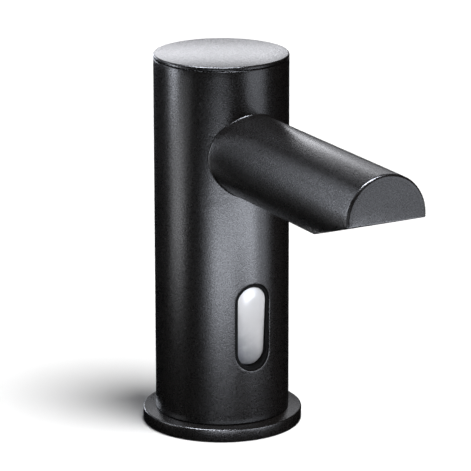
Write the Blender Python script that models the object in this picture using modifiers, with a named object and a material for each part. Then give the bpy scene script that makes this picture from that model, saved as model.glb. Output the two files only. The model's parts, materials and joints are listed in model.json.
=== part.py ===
"""Deck-mounted automatic soap dispenser with a horizontal spout.

Metres, +Z up. The origin is the centre of the flange's underside, which is the deck's top.
The spout points along -Y, the sensor window looks the same way and the fixing set screw is at the back.
"""

import math

import bmesh
import bpy
import numpy as np
from mathutils import Matrix, Vector

MM = 0.001

# ---- driving dimensions, millimetres ----
BODY_R = 25.4  # 2 in column
BODY_WALL = 2.4
BODY_Z0, BODY_Z1 = 5.1, 141.3
CAP_Z0, CAP_Z1 = 141.6, 142.9
FLANGE_R, FLANGE_H = 30.3, 4.8

SPOUT_R, SPOUT_WALL = 15.8, 2.0
SPOUT_Z = 108.6  # height of the spout's axis
SPOUT_REACH = 121.9  # body axis to the end face
SPOUT_SADDLE = 25.7
TIP_Z = 107.3  # bottom edge of the end face
SLOPE = 0.3354  # rise of the underside per unit of reach
PLATE = 2.0

WINDOW_Z, WINDOW_W, WINDOW_H = 42.5, 14.3, 33.8

PUMP_X, PUMP_Y = 0.0, 3.0
PUMP_R = 18.5
ROLLER_R, ROLLER_ORBIT = 3.5, 9.6
TUBE_Z, TUBE_R = 105.0, 14.22

NOZZLE_S = 104.0
SHANK_R, SHANK_BORE, SHANK_END = 13.5, 10.5, -58.0
DECK_UNDERSIDE = -25.4
DETAIL = 0.6  # share of the nominal facet count that a round piece keeps

for old in list(bpy.data.objects):
    bpy.data.objects.remove(old)

SCENE = bpy.context.scene
PARTS = bpy.data.collections.new("soap_dispenser")
CUTTERS = bpy.data.collections.new("cutters")
SCENE.collection.children.link(PARTS)
SCENE.collection.children.link(CUTTERS)

# local (u, v, s) -> world (u, -s, v): s is the distance towards the front
FRONT = Matrix(((1, 0, 0, 0), (0, 0, -1, 0), (0, 1, 0, 0), (0, 0, 0, 1)))


def at(x=0.0, y=0.0, z=0.0):
    return Matrix.Translation((x * MM, y * MM, z * MM))


def facing(origin, direction):
    """Local +Z along the direction, from the origin in millimetres."""
    turn = Vector((0, 0, 1)).rotation_difference(Vector(direction).normalized())
    return Matrix.Translation([c * MM for c in origin]) @ turn.to_matrix().to_4x4()


def put(name, data, matrix, collection):
    obj = bpy.data.objects.new(name, data)
    collection.objects.link(obj)
    obj.matrix_world = matrix
    if collection == CUTTERS:
        obj.hide_render = True
        obj.display_type = "WIRE"
    return obj


def mesh_of(name, bm):
    bmesh.ops.recalc_face_normals(bm, faces=bm.faces)
    mesh = bpy.data.meshes.new(name)
    bm.to_mesh(mesh)
    bm.free()
    return mesh


def lathe(name, profile, matrix=None, segments=48, collection=PARTS):
    """Turned piece. The profile is (r, z) and its outer side runs from top to bottom."""
    if segments > 6:
        segments = max(8, 2 * round(segments * DETAIL / 2))
    mesh = bpy.data.meshes.new(name)
    points = [(r * MM, 0, z * MM) for r, z in profile]
    edges = [(i, i + 1) for i in range(len(points) - 1)]
    if profile[0][0] > 0 or profile[-1][0] > 0:
        edges.append((len(points) - 1, 0))
    mesh.from_pydata(points, edges, [])
    obj = put(name, mesh, matrix or Matrix.Identity(4), collection)
    screw = obj.modifiers.new("turn", "SCREW")
    screw.axis = "Z"
    screw.angle = math.tau
    screw.steps = screw.render_steps = segments
    screw.use_merge_vertices = True
    screw.merge_threshold = 1e-6
    screw.use_smooth_shade = True
    return obj


def rod(name, r, z0, z1, matrix=None, segments=32, collection=PARTS):
    return lathe(name, [(0, z1), (r, z1), (r, z0), (0, z0)], matrix, segments, collection)


def ring(name, r0, r1, z0, z1, matrix=None, segments=48, collection=PARTS):
    return lathe(name, [(r0, z1), (r1, z1), (r1, z0), (r0, z0)], matrix, segments, collection)


def box(name, x0, x1, y0, y1, z0, z1, matrix=None, collection=PARTS):
    bm = bmesh.new()
    bmesh.ops.create_cube(bm, size=1.0)
    for v in bm.verts:
        v.co = Vector(
            (
                (x0 + x1) / 2 + v.co.x * (x1 - x0),
                (y0 + y1) / 2 + v.co.y * (y1 - y0),
                (z0 + z1) / 2 + v.co.z * (z1 - z0),
            )
        ) * MM
    return put(name, mesh_of(name, bm), matrix or Matrix.Identity(4), collection)


def prism(name, outline, d0, d1, matrix=None, collection=PARTS):
    """An outline in local XY carried along local Z from d0 to d1."""
    bm = bmesh.new()
    face = bm.faces.new([bm.verts.new((x * MM, y * MM, d0 * MM)) for x, y in outline])
    grown = bmesh.ops.extrude_face_region(bm, geom=[face])
    for v in grown["geom"]:
        if isinstance(v, bmesh.types.BMVert):
            v.co.z = d1 * MM
    return put(name, mesh_of(name, bm), matrix or Matrix.Identity(4), collection)


def stadium(width, height, cx=0.0, cy=0.0, n=12):
    """A slot outline with round ends, taller than wide."""
    r = width / 2
    h = height / 2 - r
    top = [
        (cx + r * math.cos(a), cy + h + r * math.sin(a))
        for a in (math.pi * i / n for i in range(n + 1))
    ]
    bottom = [
        (cx + r * math.cos(a), cy - h + r * math.sin(a))
        for a in (math.pi + math.pi * i / n for i in range(n + 1))
    ]
    return top + bottom


def boolean(obj, other, how="DIFFERENCE"):
    m = obj.modifiers.new(how.lower(), "BOOLEAN")
    m.operation = how
    m.solver = "EXACT"
    m.object = other
    return obj


def smooth_path(points, per=5):
    """Points on a curve through the given points (Catmull-Rom)."""
    p = [Vector(q) for q in points]
    p = [p[0] * 2 - p[1]] + p + [p[-1] * 2 - p[-2]]
    out = []
    for i in range(1, len(p) - 2):
        for k in range(per):
            t = k / per
            out.append(
                0.5
                * (
                    2 * p[i]
                    + (p[i + 1] - p[i - 1]) * t
                    + (2 * p[i - 1] - 5 * p[i] + 4 * p[i + 1] - p[i + 2]) * t * t
                    + (3 * p[i] - p[i - 1] - 3 * p[i + 1] + p[i + 2]) * t**3
                )
            )
    out.append(p[-2])
    return out


def wire(name, points, r, resolution=1, wall=None, matrix=None, collection=PARTS):
    """A round cord along the points in millimetres. With a wall it is a hose, open at both ends."""
    curve = bpy.data.curves.new(name, "CURVE")
    curve.dimensions = "3D"
    spline = curve.splines.new("POLY")
    spline.points.add(len(points) - 1)
    for target, q in zip(spline.points, points):
        target.co = (q[0] * MM, q[1] * MM, q[2] * MM, 1)
    curve.bevel_depth = r * MM
    curve.bevel_resolution = resolution
    curve.use_fill_caps = wall is None
    temp = put(name + "_curve", curve, Matrix.Identity(4), CUTTERS)
    bpy.context.view_layer.update()
    mesh = bpy.data.meshes.new_from_object(
        temp.evaluated_get(bpy.context.evaluated_depsgraph_get())
    )
    bpy.data.objects.remove(temp)
    mesh.name = name
    bm = bmesh.new()
    bm.from_mesh(mesh)
    bmesh.ops.remove_doubles(bm, verts=bm.verts, dist=1e-6)
    bm.to_mesh(mesh)
    bm.free()
    obj = put(name, mesh, matrix or Matrix.Identity(4), collection)
    if wall is not None:
        solid = obj.modifiers.new("wall", "SOLIDIFY")
        solid.thickness = wall * MM
        solid.offset = -1
        solid.use_rim = True
    return obj


def screw(name, matrix, head_r, head_h, shank_r, length, socket_r=0.0, socket_d=0.0, segments=20):
    """A screw whose head sits on local z = 0 and whose shank goes down local -Z."""
    obj = lathe(
        name,
        [(0, head_h), (head_r * 0.86, head_h), (head_r, head_h * 0.7), (head_r, 0), (shank_r, 0), (shank_r, -length + 0.5), (shank_r - 0.5, -length), (0, -length)],
        matrix,
        segments,
    )
    if socket_r:
        cutter = rod(name + "_socket", socket_r, head_h - socket_d, head_h + 2, matrix, 6, CUTTERS)
        boolean(obj, cutter)
    return obj


def parent_axis(obj, origin):
    """Moves an object's origin on to its joint's axis and leaves its mesh where it is."""
    there = Matrix.Translation([c * MM for c in origin])
    shift = there.inverted() @ obj.matrix_world
    obj.data.transform(shift)
    obj.matrix_world = there
    return obj


# ---- column ----
body = ring("body_column", BODY_R - BODY_WALL, BODY_R, BODY_Z0, BODY_Z1, segments=72)
boolean(
    body,
    prism("cut_window", stadium(WINDOW_W, WINDOW_H, 0, WINDOW_Z), 15, 32, FRONT, CUTTERS),
)
boolean(
    body,
    rod("cut_spout_way", SPOUT_R - SPOUT_WALL, 12, 32, at(0, 0, SPOUT_Z) @ FRONT, 48, CUTTERS),
)
set_way = rod("cut_set_screw", 2.3, 14, 30, facing((0, 0, 11), (0, 1, 0)), 20, CUTTERS)
boolean(body, set_way)

# ---- spout ----
spout = ring("spout_tube", SPOUT_R - SPOUT_WALL, SPOUT_R, 10, SPOUT_REACH, at(0, 0, SPOUT_Z) @ FRONT, 48)
boolean(spout, rod("cut_saddle", SPOUT_SADDLE, 80, 140, None, 72, CUTTERS))
UNDER_N = Vector((0, SLOPE, 1)).normalized()  # normal of the slanted underside, inwards


def under_z(s):
    return TIP_Z - (SPOUT_REACH - s) * SLOPE


def below(name, lift, s0=20.0, s1=140.0):
    """Everything below the slanted underside, raised by lift along its normal."""
    up = lift / UNDER_N.z
    outline = [(s0, under_z(s0) + up), (s0, 40), (s1, 40), (s1, under_z(s1) + up)]
    # the outline is (s, z); local X = -Y, local Y = Z, so local Z = -X
    side = Matrix(((0, 0, -1, 0), (-1, 0, 0, 0), (0, 1, 0, 0), (0, 0, 0, 1)))
    return prism(name, outline, -30, 30, side, CUTTERS)


boolean(spout, below("cut_underside", 0.0))

end_plate = rod("spout_end_plate", SPOUT_R - SPOUT_WALL - 0.2, SPOUT_REACH - PLATE, SPOUT_REACH - 0.1, at(0, 0, SPOUT_Z) @ FRONT, 48)
boolean(end_plate, below("cut_end_plate", 0.1))

# ---- nozzle ----
NOZZLE_P = (0, -NOZZLE_S, under_z(NOZZLE_S))
NOZZLE = facing(NOZZLE_P, UNDER_N)

plate = rod("nozzle_plate", SPOUT_R - SPOUT_WALL - 0.2, 60, SPOUT_REACH - PLATE - 0.2, at(0, 0, SPOUT_Z) @ FRONT, 48)
boolean(plate, below("cut_plate_under", 0.15))
slab = box("cut_plate_over", -30, 30, -90, 60, PLATE, 60, NOZZLE, CUTTERS)
boolean(plate, slab)
boolean(plate, rod("add_boss", 9.5, 1.0, 5.0, NOZZLE, 32, CUTTERS), "UNION")
boolean(plate, rod("cut_nozzle_way", 7.0, -3, 8, NOZZLE, 32, CUTTERS))

nozzle_body = lathe(
    "nozzle_body",
    [(3.6, 8.5), (6.4, 8.5), (6.7, 8.2), (6.7, 4.2), (5.55, 4.2), (5.55, 2.8), (6.7, 2.8), (6.7, 0.6), (6.3, 0.2), (2.0, 0.2), (2.0, 2.0), (3.6, 2.0)],
    NOZZLE,
    32,
)


def torus(name, major, minor, z, matrix=None, around=40, section=10):
    profile = [
        (major + minor * math.sin(a), z + minor * math.cos(a))
        for a in (math.tau * i / section for i in range(section))
    ]
    return lathe(name, profile, matrix, around)


torus("nozzle_oring", 6.3, 0.55, 3.5, NOZZLE, 28, 8)

BALL_W = 6.55
bm = bmesh.new()
bmesh.ops.create_uvsphere(bm, u_segments=12, v_segments=8, radius=2.5 * MM)
put("valve_ball", mesh_of("valve_ball", bm), NOZZLE @ at(0, 0, BALL_W), PARTS)

turns, per_turn = 3, 10
coil = []
for i in range(turns * per_turn + 1):
    a = math.tau * i / per_turn
    coil.append((2.3 * math.cos(a), 2.3 * math.sin(a), 2.42 + 2.36 * i / (turns * per_turn)))
wire("valve_spring", coil, 0.25, 1, None, NOZZLE)

elbow = lathe(
    "hose_elbow",
    [(0, 15.0), (3.8, 15.0), (4.3, 14.5), (4.3, 10.4), (6.4, 10.4), (6.4, 8.7), (0, 8.7)],
    NOZZLE,
    28,
)
ELBOW_C = NOZZLE @ at(0, 0, 12.4)
barb_y = -(NOZZLE_S - 12.4 * UNDER_N.y)
barb_z = under_z(NOZZLE_S) + 12.4 * UNDER_N.z
BARB = facing((0, barb_y, barb_z), (0, 1, 0))
boolean(
    elbow,
    lathe("add_barb", [(0, 13.0), (0.9, 13.0), (1.2, 12.2), (1.2, 8.4), (2.4, 8.4), (2.4, 0), (0, 0)], BARB, 16, CUTTERS),
    "UNION",
)
boolean(elbow, rod("cut_elbow_up", 1.5, 6, 13.2, NOZZLE, 14, CUTTERS))
boolean(elbow, rod("cut_elbow_out", 0.7, 0.4, 15, BARB, 10, CUTTERS))

# ---- cap ----
lathe(
    "top_cap",
    [
        (0, CAP_Z1), (BODY_R - 0.45, CAP_Z1), (BODY_R - 0.13, CAP_Z1 - 0.13), (BODY_R, CAP_Z1 - 0.45), (BODY_R, CAP_Z0),
        (22.6, CAP_Z0), (22.6, 138.2), (20.8, 138.2), (20.8, 135.8), (22.6, 135.8), (22.6, 134.4), (22.2, 134.0),
        (19.0, 134.0), (19.0, 139.6), (0, 139.6),
    ],
    None,
    72,
)
torus("top_cap_oring", 21.9, 0.88, 137.0, None, 48, 8)

# ---- base ----
flange = lathe(
    "base_flange",
    [
        (22.7, FLANGE_H), (FLANGE_R - 0.6, FLANGE_H), (FLANGE_R - 0.18, FLANGE_H - 0.18), (FLANGE_R, FLANGE_H - 0.6), (FLANGE_R, 0),
        (27.5, 0), (27.5, 2.0), (15.6, 2.0), (15.6, 0), (13.9, 0), (13.9, 4.8), (18.0, 4.8), (18.0, 18.0), (22.7, 18.0),
    ],
    None,
    72,
)
boolean(flange, set_way)
SCREW_WAYS = ((14.4, -14.4), (-14.4, 14.4))
for i, (x, y) in enumerate(SCREW_WAYS, 1):
    boolean(flange, rod(f"cut_flange_screw_{i}", 1.15, 10, 22, at(x, y), 12, CUTTERS))
ring("base_gasket", 16.0, 27.2, 0, 1.7, None, 48)

grub = rod("body_set_screw", 1.95, 18.6, 24.9, facing((0, 0, 11), (0, 1, 0)), 20)
boolean(grub, rod("cut_grub_socket", 1.15, 22.4, 28, facing((0, 0, 11), (0, 1, 0)), 6, CUTTERS))

# ---- sensor ----
# the lens leans back towards its lower end, inside a moulded gasket with a sleeve through the wall
LENS_TOP, LENS_BOTTOM, LENS_T = 24.7, 22.3, 1.3
lens = prism("sensor_window", stadium(WINDOW_W - 2.6, WINDOW_H - 2.6, 0, WINDOW_Z), 18, 30, FRONT)
half = WINDOW_H / 2 - 1.3
lean = (LENS_TOP - LENS_BOTTOM) / (2 * half)
z1, z0 = WINDOW_Z + half + 4, WINDOW_Z - half - 4
r1, r0 = LENS_TOP + 4 * lean, LENS_BOTTOM - 4 * lean
keep = lathe("keep_lens", [(r1 - LENS_T, z1), (r1, z1), (r0, z0), (r0 - LENS_T, z0)], None, 72, CUTTERS)
boolean(lens, keep, "INTERSECT")
pad = prism("window_gasket", stadium(20, 40, 0, WINDOW_Z), 15, 30, FRONT)
boolean(pad, ring("keep_pad", 21.2, 22.7, 10, 70, None, 72, CUTTERS), "INTERSECT")
sleeve = prism("add_sleeve", stadium(WINDOW_W - 0.3, WINDOW_H - 0.3, 0, WINDOW_Z), 15, 30, FRONT, CUTTERS)
boolean(sleeve, ring("keep_sleeve", 21.5, 25.0, 10, 70, None, 72, CUTTERS), "INTERSECT")
boolean(pad, sleeve, "UNION")
boolean(pad, prism("cut_pad", stadium(WINDOW_W - 2.3, WINDOW_H - 2.3, 0, WINDOW_Z), 10, 34, FRONT, CUTTERS))

EYES = (("ir_emitter", 50.0), ("status_led", 42.0), ("ir_receiver", 34.0))
housing = box("sensor_housing", -9, 9, -24, -9.1, 24.5, 58.5)
boolean(housing, rod("keep_housing", 20.5, 20, 62, None, 72, CUTTERS), "INTERSECT")
for name, z in EYES:
    boolean(housing, rod("cut_" + name, 2.7, 5, 30, at(0, 0, z) @ FRONT, 16, CUTTERS))
    lathe(
        name,
        [(0, 18.6), (1.0, 18.35), (1.8, 17.6), (2.2, 16.6), (2.35, 15.6), (2.35, 9.3), (0, 9.3)],
        at(0, 0, z) @ FRONT,
        16,
    )
board_s = box("sensor_board", -8, 8, -8.9, -7.3, 26, 58)
BOARD_SCREWS = ((-6.2, 28.2), (6.2, 55.8))
for i, (x, z) in enumerate(BOARD_SCREWS, 1):
    way = rod(f"cut_board_screw_{i}", 1.3, -10, 14.6, at(x, 0, z) @ FRONT, 12, CUTTERS)
    boolean(housing, way)
    boolean(board_s, way)
    screw(f"sensor_board_screw_{i}", at(x, -2.9, z) @ Matrix(((1, 0, 0, 0), (0, 0, 1, 0), (0, -1, 0, 0), (0, 0, 0, 1))), 2.1, 1.4, 1.05, 11.0, 0.8, 0.8, 16)
wire(
    "sensor_lead",
    smooth_path([(-5.2, -8.1, 58.8), (-6.4, -8.5, 60.6), (-10, -9.2, 63.5), (-15, -8, 71), (-18.3, -5.6, 84), (-18.3, -5.5, 100), (-18.3, -5.5, 119.0)], 3),
    0.9,
    0,
)

# ---- chassis ----
chassis = rod("chassis", 22.4, 18.3, 20.3, None, 48)
for side in (-1, 1):
    x0, x1 = sorted((side * 18.0, side * 20.0))
    boolean(chassis, box(f"add_rail_{side + 1}", x0, x1, -1, 7, 19, 95.5, None, CUTTERS), "UNION")
boolean(chassis, box("add_back", -7.6, 7.6, -4.6, -3.2, 19, 59, None, CUTTERS), "UNION")
boolean(chassis, rod("add_top", PUMP_R, 94.3, 96.8, at(PUMP_X, PUMP_Y), 48, CUTTERS), "UNION")
# two arms join the top plate to the rails
boolean(chassis, box("add_arms", -19.6, 19.6, -0.6, 6.6, 94.6, 96.5, None, CUTTERS), "UNION")
boolean(chassis, rod("cut_hose_way", 3.0, 15, 25, at(7.5, 3), 20, CUTTERS))
boolean(chassis, rod("cut_lead_way", 2.2, 15, 25, at(-7.5, 3), 16, CUTTERS))
boolean(chassis, rod("cut_shaft_way", 4.2, 90, 100, at(PUMP_X, PUMP_Y), 24, CUTTERS))
INLET_X, INLET_Y = 14.2, -11.2
riser_way = rod("cut_riser_way", 3.4, 90, 108, at(INLET_X + 0.6, INLET_Y - 0.6), 20, CUTTERS)
boolean(chassis, riser_way)
for i, (x, z) in enumerate(BOARD_SCREWS, 1):
    boolean(chassis, rod(f"cut_back_screw_{i}", 1.3, 0, 6, at(x, 0, z) @ FRONT, 12, CUTTERS))
for i, (x, y) in enumerate(SCREW_WAYS, 1):
    boolean(chassis, rod(f"cut_chassis_screw_{i}", 1.3, 15, 25, at(x, y), 12, CUTTERS))
    screw(f"chassis_screw_{i}", at(x, y, 20.45), 2.0, 1.5, 1.0, 9.0, 0.8, 0.8, 16)

# ---- motor and pump ----
PUMP = at(PUMP_X, PUMP_Y)
lathe("gear_motor", [(0, 84.0), (11.5, 84.0), (11.5, 63.0), (10.5, 62.0), (4.0, 62.0), (4.0, 60.6), (0, 60.6)], PUMP, 32)
lathe("gearbox_case", [(1.8, 94.0), (11.4, 94.0), (12.0, 93.4), (12.0, 84.3), (0, 84.3), (0, 86.5), (1.8, 86.5)], PUMP, 32)
rod("drive_shaft", 1.5, 87.0, 109.4, PUMP, 16)

pump = lathe("pump_housing", [(15.0, 110.0), (PUMP_R, 110.0), (PUMP_R, 97.1), (3.0, 97.1), (3.0, 99.5), (15.0, 99.5)], PUMP, 64)
for side in (-1, 1):
    x0, x1 = sorted((side * 6.0, side * 16.9))
    boolean(pump, box(f"cut_leg_way_{side + 1}", x0, x1, -30, 3.25, 99.6, 115, None, CUTTERS))
boolean(pump, riser_way)

cover = rod("pump_cover", PUMP_R, 110.3, 112.3, PUMP, 64)


def polar(radius, degrees):
    a = math.radians(degrees)
    return PUMP_X + radius * math.cos(a), PUMP_Y + radius * math.sin(a)


POSTS = [polar(15.5, d) for d in (90, 210, 330)]
for i, (x, y) in enumerate(POSTS, 1):
    boolean(cover, rod(f"add_post_{i}", 2.3, 111.5, 119.0, at(x, y), 16, CUTTERS), "UNION")
for i, (x, y) in enumerate(POSTS[:2], 1):
    boolean(cover, rod(f"cut_post_{i}", 1.15, 114, 121, at(x, y), 10, CUTTERS))
for i, d in enumerate((48, 132), 1):
    x, y = polar(16.75, d)
    boolean(pump, rod(f"cut_pump_screw_{i}", 1.15, 102, 111, at(x, y), 10, CUTTERS))
    boolean(cover, rod(f"cut_cover_screw_{i}", 1.15, 108, 114, at(x, y), 10, CUTTERS))
    screw(f"pump_screw_{i}", at(x, y, 112.45), 1.9, 1.4, 0.95, 9.4, 0.8, 0.8, 16)

rotor = lathe(
    "pump_rotor",
    [(1.8, 110.0), (12.6, 110.0), (12.6, 108.9), (3.6, 108.9), (3.6, 101.1), (12.6, 101.1), (12.6, 99.9), (1.8, 99.9)],
    PUMP,
    40,
)
for i in range(3):
    x, y = polar(ROLLER_ORBIT, 90 + 120 * i)
    boolean(rotor, rod(f"cut_pin_{i + 1}", 1.25, 98, 112, at(x, y), 12, CUTTERS))
    ring(f"roller_{i + 1}", 1.3, ROLLER_R, 101.4, 108.6, at(x, y), 20)
    rod(f"roller_pin_{i + 1}", 1.0, 100.0, 109.9, at(x, y), 12)


def pump_tube():
    """The pump's hose: round at both ends and pressed flat along the track behind the rollers."""
    stations = []  # centre, outward direction, half thickness, half height
    for y, t, h in ((-8.2, 2.2, 2.2), (-6.5, 2.2, 2.2), (-5.0, 1.7, 2.55), (-2.6, 1.02, 2.9), (0.0, 0.62, 3.1)):
        stations.append((Vector((TUBE_R, y, 0)), Vector((1, 0, 0)), t, h))
    arc = 9
    for i in range(1, arc):
        a = math.pi * i / arc
        d = Vector((math.cos(a), math.sin(a), 0))
        stations.append((d * TUBE_R, d, 0.62, 3.1))
    for c, d, t, h in reversed(stations[:5]):
        stations.append((Vector((-c.x, c.y, 0)), -d, t, h))
    n = 8
    bm = bmesh.new()

    def loop(c, d, t, h):
        out = []
        for k in range(n):
            a = math.tau * k / n
            p = c + d * (t * math.cos(a)) + Vector((0, 0, 1)) * (h * math.sin(a))
            out.append(bm.verts.new(Vector((PUMP_X + p.x, PUMP_Y + p.y, TUBE_Z + p.z)) * MM))
        return out

    outer = [loop(c, d, t, h) for c, d, t, h in stations]
    inner = [loop(c, d, max(t - 0.75, 0.12), h - 0.75) for c, d, t, h in stations]
    for rows in (outer, inner):
        for a, b in zip(rows, rows[1:]):
            for k in range(n):
                bm.faces.new((a[k], a[(k + 1) % n], b[(k + 1) % n], b[k]))
    for a, b in ((outer[0], inner[0]), (outer[-1], inner[-1])):
        for k in range(n):
            bm.faces.new((a[k], a[(k + 1) % n], b[(k + 1) % n], b[k]))
    return put("pump_tube", mesh_of("pump_tube", bm), Matrix.Identity(4), PARTS)


pump_tube()
LEG_Y = PUMP_Y - 8.2
wire(
    "inlet_elbow",
    [(TUBE_R, LEG_Y + 1.6, TUBE_Z)]
    + [(TUBE_R, INLET_Y + 4 - 4 * math.sin(a), TUBE_Z - 4 + 4 * math.cos(a)) for a in (math.pi / 2 * i / 4 for i in range(5))]
    + [(TUBE_R, INLET_Y, 93.5)],
    1.25,
    1,
    0.5,
)
coupler = lathe(
    "hose_coupler",
    [(0.75, 2.3), (1.2, 2.3), (1.2, 0.4), (2.2, 0.4), (2.2, -0.4), (1.2, -0.4), (1.2, -3.2), (0.75, -3.2)],
    facing((-TUBE_R, LEG_Y - 0.7, TUBE_Z), (0, 1, 0)),
    16,
)
wire(
    "inlet_hose",
    smooth_path(
        [(TUBE_R, INLET_Y, 96.5), (TUBE_R, INLET_Y, 86), (14.4, -10.6, 70), (14.6, -5, 52), (13, 1.5, 36), (7.9, 3.0, 25), (7.5, 3.0, 19.3), (7.2, 2.9, 12), (5.6, 1.6, -6), (4.0, 0, -26), (3.5, 0, -38), (3.5, 0, -48.5)],
        2,
    ),
    1.95,
    1,
    0.45,
)
wire(
    "outlet_hose",
    smooth_path(
        [(-TUBE_R, LEG_Y - 1.4, TUBE_Z), (-TUBE_R, LEG_Y - 4.4, TUBE_Z), (-13.2, -13.0, TUBE_Z), (-10.2, -17.4, 105.4), (-6.6, -21, 106), (-2.6, -32, 107.4), (0, -48, 109.4), (0, -72, 112.4), (0, barb_y + 13 - 0.4, barb_z), (0, barb_y + 8.7, barb_z)],
        2,
    ),
    1.9,
    1,
    0.4,
)

# ---- control board ----
board = rod("control_board", 21.5, 119.3, 120.9, None, 48)
for i, (x, y) in enumerate(POSTS[:2], 1):
    boolean(board, rod(f"cut_control_screw_{i}", 1.3, 117, 123, at(x, y), 12, CUTTERS))
    screw(f"board_screw_{i}", at(x, y, 121.05), 2.1, 1.4, 0.95, 6.2, 0.8, 0.8, 16)
lathe("board_capacitor", [(0, 131.0), (3.6, 131.0), (4.0, 130.6), (4.0, 121.2), (0, 121.2)], at(8.5, 8.0), 20)
box("board_chip", -10.5, -3.5, 0.5, 7.5, 121.2, 122.6)
conn = box("board_connector", -4.5, 4.5, -16.5, -11.0, 121.2, 127.0)
boolean(conn, box("cut_connector", -3.7, 3.7, -15.7, -11.8, 123.0, 130.0, None, CUTTERS))

# ---- supply and power ----
wire(
    "power_lead",
    smooth_path(
        [(-17.5, -9.5, 119.0), (-17.5, -9.5, 92), (-17.5, -9.5, 66), (-15.2, -5, 48), (-12.6, 0.5, 34), (-7.9, 3, 25), (-7.5, 3, 19.3), (-7.2, 2.9, 12), (-6.2, 1.4, -6), (-5.6, 0, -26), (-5.5, 0, -38), (-5.5, 0, -49.0)],
        3,
    ),
    0.95,
    0,
)

# ---- below the deck ----
lathe(
    "mounting_shank",
    [(SHANK_BORE, 9.1), (16.2, 9.1), (16.5, 8.8), (16.5, 5.1), (SHANK_R, 5.1), (SHANK_R, SHANK_END + 0.8), (SHANK_R - 0.8, SHANK_END), (SHANK_BORE, SHANK_END)],
    None,
    48,
)
WASHER_Z1 = DECK_UNDERSIDE
ring("rubber_washer", 13.9, 24.0, WASHER_Z1 - 3.0, WASHER_Z1, None, 48)
ring("steel_washer", 14.0, 22.5, WASHER_Z1 - 4.8, WASHER_Z1 - 3.3, None, 48)
NUT_Z1 = WASHER_Z1 - 5.1
nut = lathe(
    "mounting_nut",
    [(13.8, NUT_Z1), (20.0, NUT_Z1), (20.0, NUT_Z1 - 3.0), (17.4, NUT_Z1 - 4.0), (17.4, NUT_Z1 - 12.0), (13.8, NUT_Z1 - 12.0)],
    None,
    48,
)
for i in range(4):
    turn = Matrix.Rotation(math.radians(45 + 90 * i), 4, "Z")
    boolean(nut, box(f"add_wing_{i + 1}", 16.0, 23.5, -1.6, 1.6, NUT_Z1 - 12.0, NUT_Z1 - 1.5, turn, CUTTERS), "UNION")
fitting = lathe(
    "inlet_fitting",
    [(0, -50.0), (9.8, -50.0), (10.2, -50.4), (10.2, -57.7), (0, -57.7)],
    None,
    32,
)
BARB_X = 3.5
boolean(fitting, rod("add_top_barb", 1.25, -51, -45.0, at(BARB_X), 16, CUTTERS), "UNION")
boolean(
    fitting,
    lathe("add_low_barb", [(0, -56), (3.0, -56), (3.0, -60), (2.2, -60), (2.8, -62.5), (2.1, -62.5), (2.6, -66), (0, -66)], at(BARB_X), 16, CUTTERS),
    "UNION",
)
boolean(fitting, rod("cut_supply_way", 0.75, -70, -40, at(BARB_X), 10, CUTTERS))
boolean(fitting, rod("cut_socket_way", 3.2, -60, -48, at(-5.5), 16, CUTTERS))
socket = lathe("power_socket", [(0, -49.4), (2.9, -49.4), (2.9, -57.9), (4.0, -57.9), (4.0, -59.4), (0, -59.4)], at(-5.5), 20)
boolean(socket, ring("cut_socket", 0.6, 2.1, -70, -52, at(-5.5), 14, CUTTERS))

# ---- origins of the pieces that turn or slide on an axis ----
for name, origin in (
    ("mounting_nut", (0, 0, NUT_Z1 - 6)),
    ("rubber_washer", (0, 0, WASHER_Z1 - 1.5)),
    ("steel_washer", (0, 0, WASHER_Z1 - 4.0)),
    ("top_cap", (0, 0, CAP_Z0)),
    ("top_cap_oring", (0, 0, 137.0)),
):
    parent_axis(bpy.data.objects[name], origin)

# ---- materials ----
BLACK, RUBBER, STEEL, PLASTIC = "black", "rubber", "steel", "plastic"
LOOKS = {
    "coat": ((0.012, 0.012, 0.013, 1), 0.0, 0.42),
    "rubber": ((0.02, 0.02, 0.02, 1), 0.0, 0.8),
    "steel": ((0.62, 0.62, 0.60, 1), 1.0, 0.3),
    "brass": ((0.78, 0.57, 0.23, 1), 1.0, 0.3),
    "black": ((0.03, 0.03, 0.032, 1), 0.0, 0.5),
    "white": ((0.78, 0.78, 0.75, 1), 0.0, 0.45),
    "blue": ((0.08, 0.2, 0.5, 1), 0.0, 0.4),
    "green": ((0.02, 0.16, 0.07, 1), 0.0, 0.4),
    "lens": ((0.35, 0.37, 0.40, 1), 0.0, 0.1),
    "clear": ((0.75, 0.8, 0.82, 1), 0.0, 0.35),
    "chip": ((0.015, 0.015, 0.016, 1), 0.0, 0.5),
}
KIND = {
    "coat": ("body_column", "spout_tube", "spout_end_plate", "top_cap", "base_flange", "nozzle_plate"),
    "rubber": ("top_cap_oring", "base_gasket", "window_gasket", "nozzle_oring", "rubber_washer"),
    "brass": ("mounting_shank",),
    "black": ("sensor_housing", "nozzle_body", "mounting_nut", "sensor_lead", "power_lead", "power_socket", "gearbox_case", "board_connector"),
    "white": ("chassis", "pump_housing", "pump_cover", "hose_elbow", "inlet_elbow", "hose_coupler", "inlet_fitting"),
    "blue": ("pump_rotor",),
    "green": ("control_board", "sensor_board"),
    "lens": ("sensor_window",),
    "clear": ("inlet_hose", "outlet_hose", "pump_tube", "status_led", "roller_1", "roller_2", "roller_3"),
    "chip": ("board_chip", "board_capacitor", "ir_emitter", "ir_receiver"),
}
LOOK_OF = {node: look for look, nodes in KIND.items() for node in nodes}
for obj in PARTS.objects:
    rgba, metal, rough = LOOKS[LOOK_OF.get(obj.name, "steel")]
    m = bpy.data.materials.new("m_" + obj.name)
    m.use_nodes = True
    shader = m.node_tree.nodes["Principled BSDF"]
    shader.inputs["Base Color"].default_value = rgba
    shader.inputs["Metallic"].default_value = metal
    shader.inputs["Roughness"].default_value = rough
    m.diffuse_color = rgba
    obj.data.materials.append(m)
    for polygon in obj.data.polygons:
        polygon.use_smooth = obj.name in ("valve_ball", "valve_spring", "pump_tube", "inlet_hose", "outlet_hose")
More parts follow.
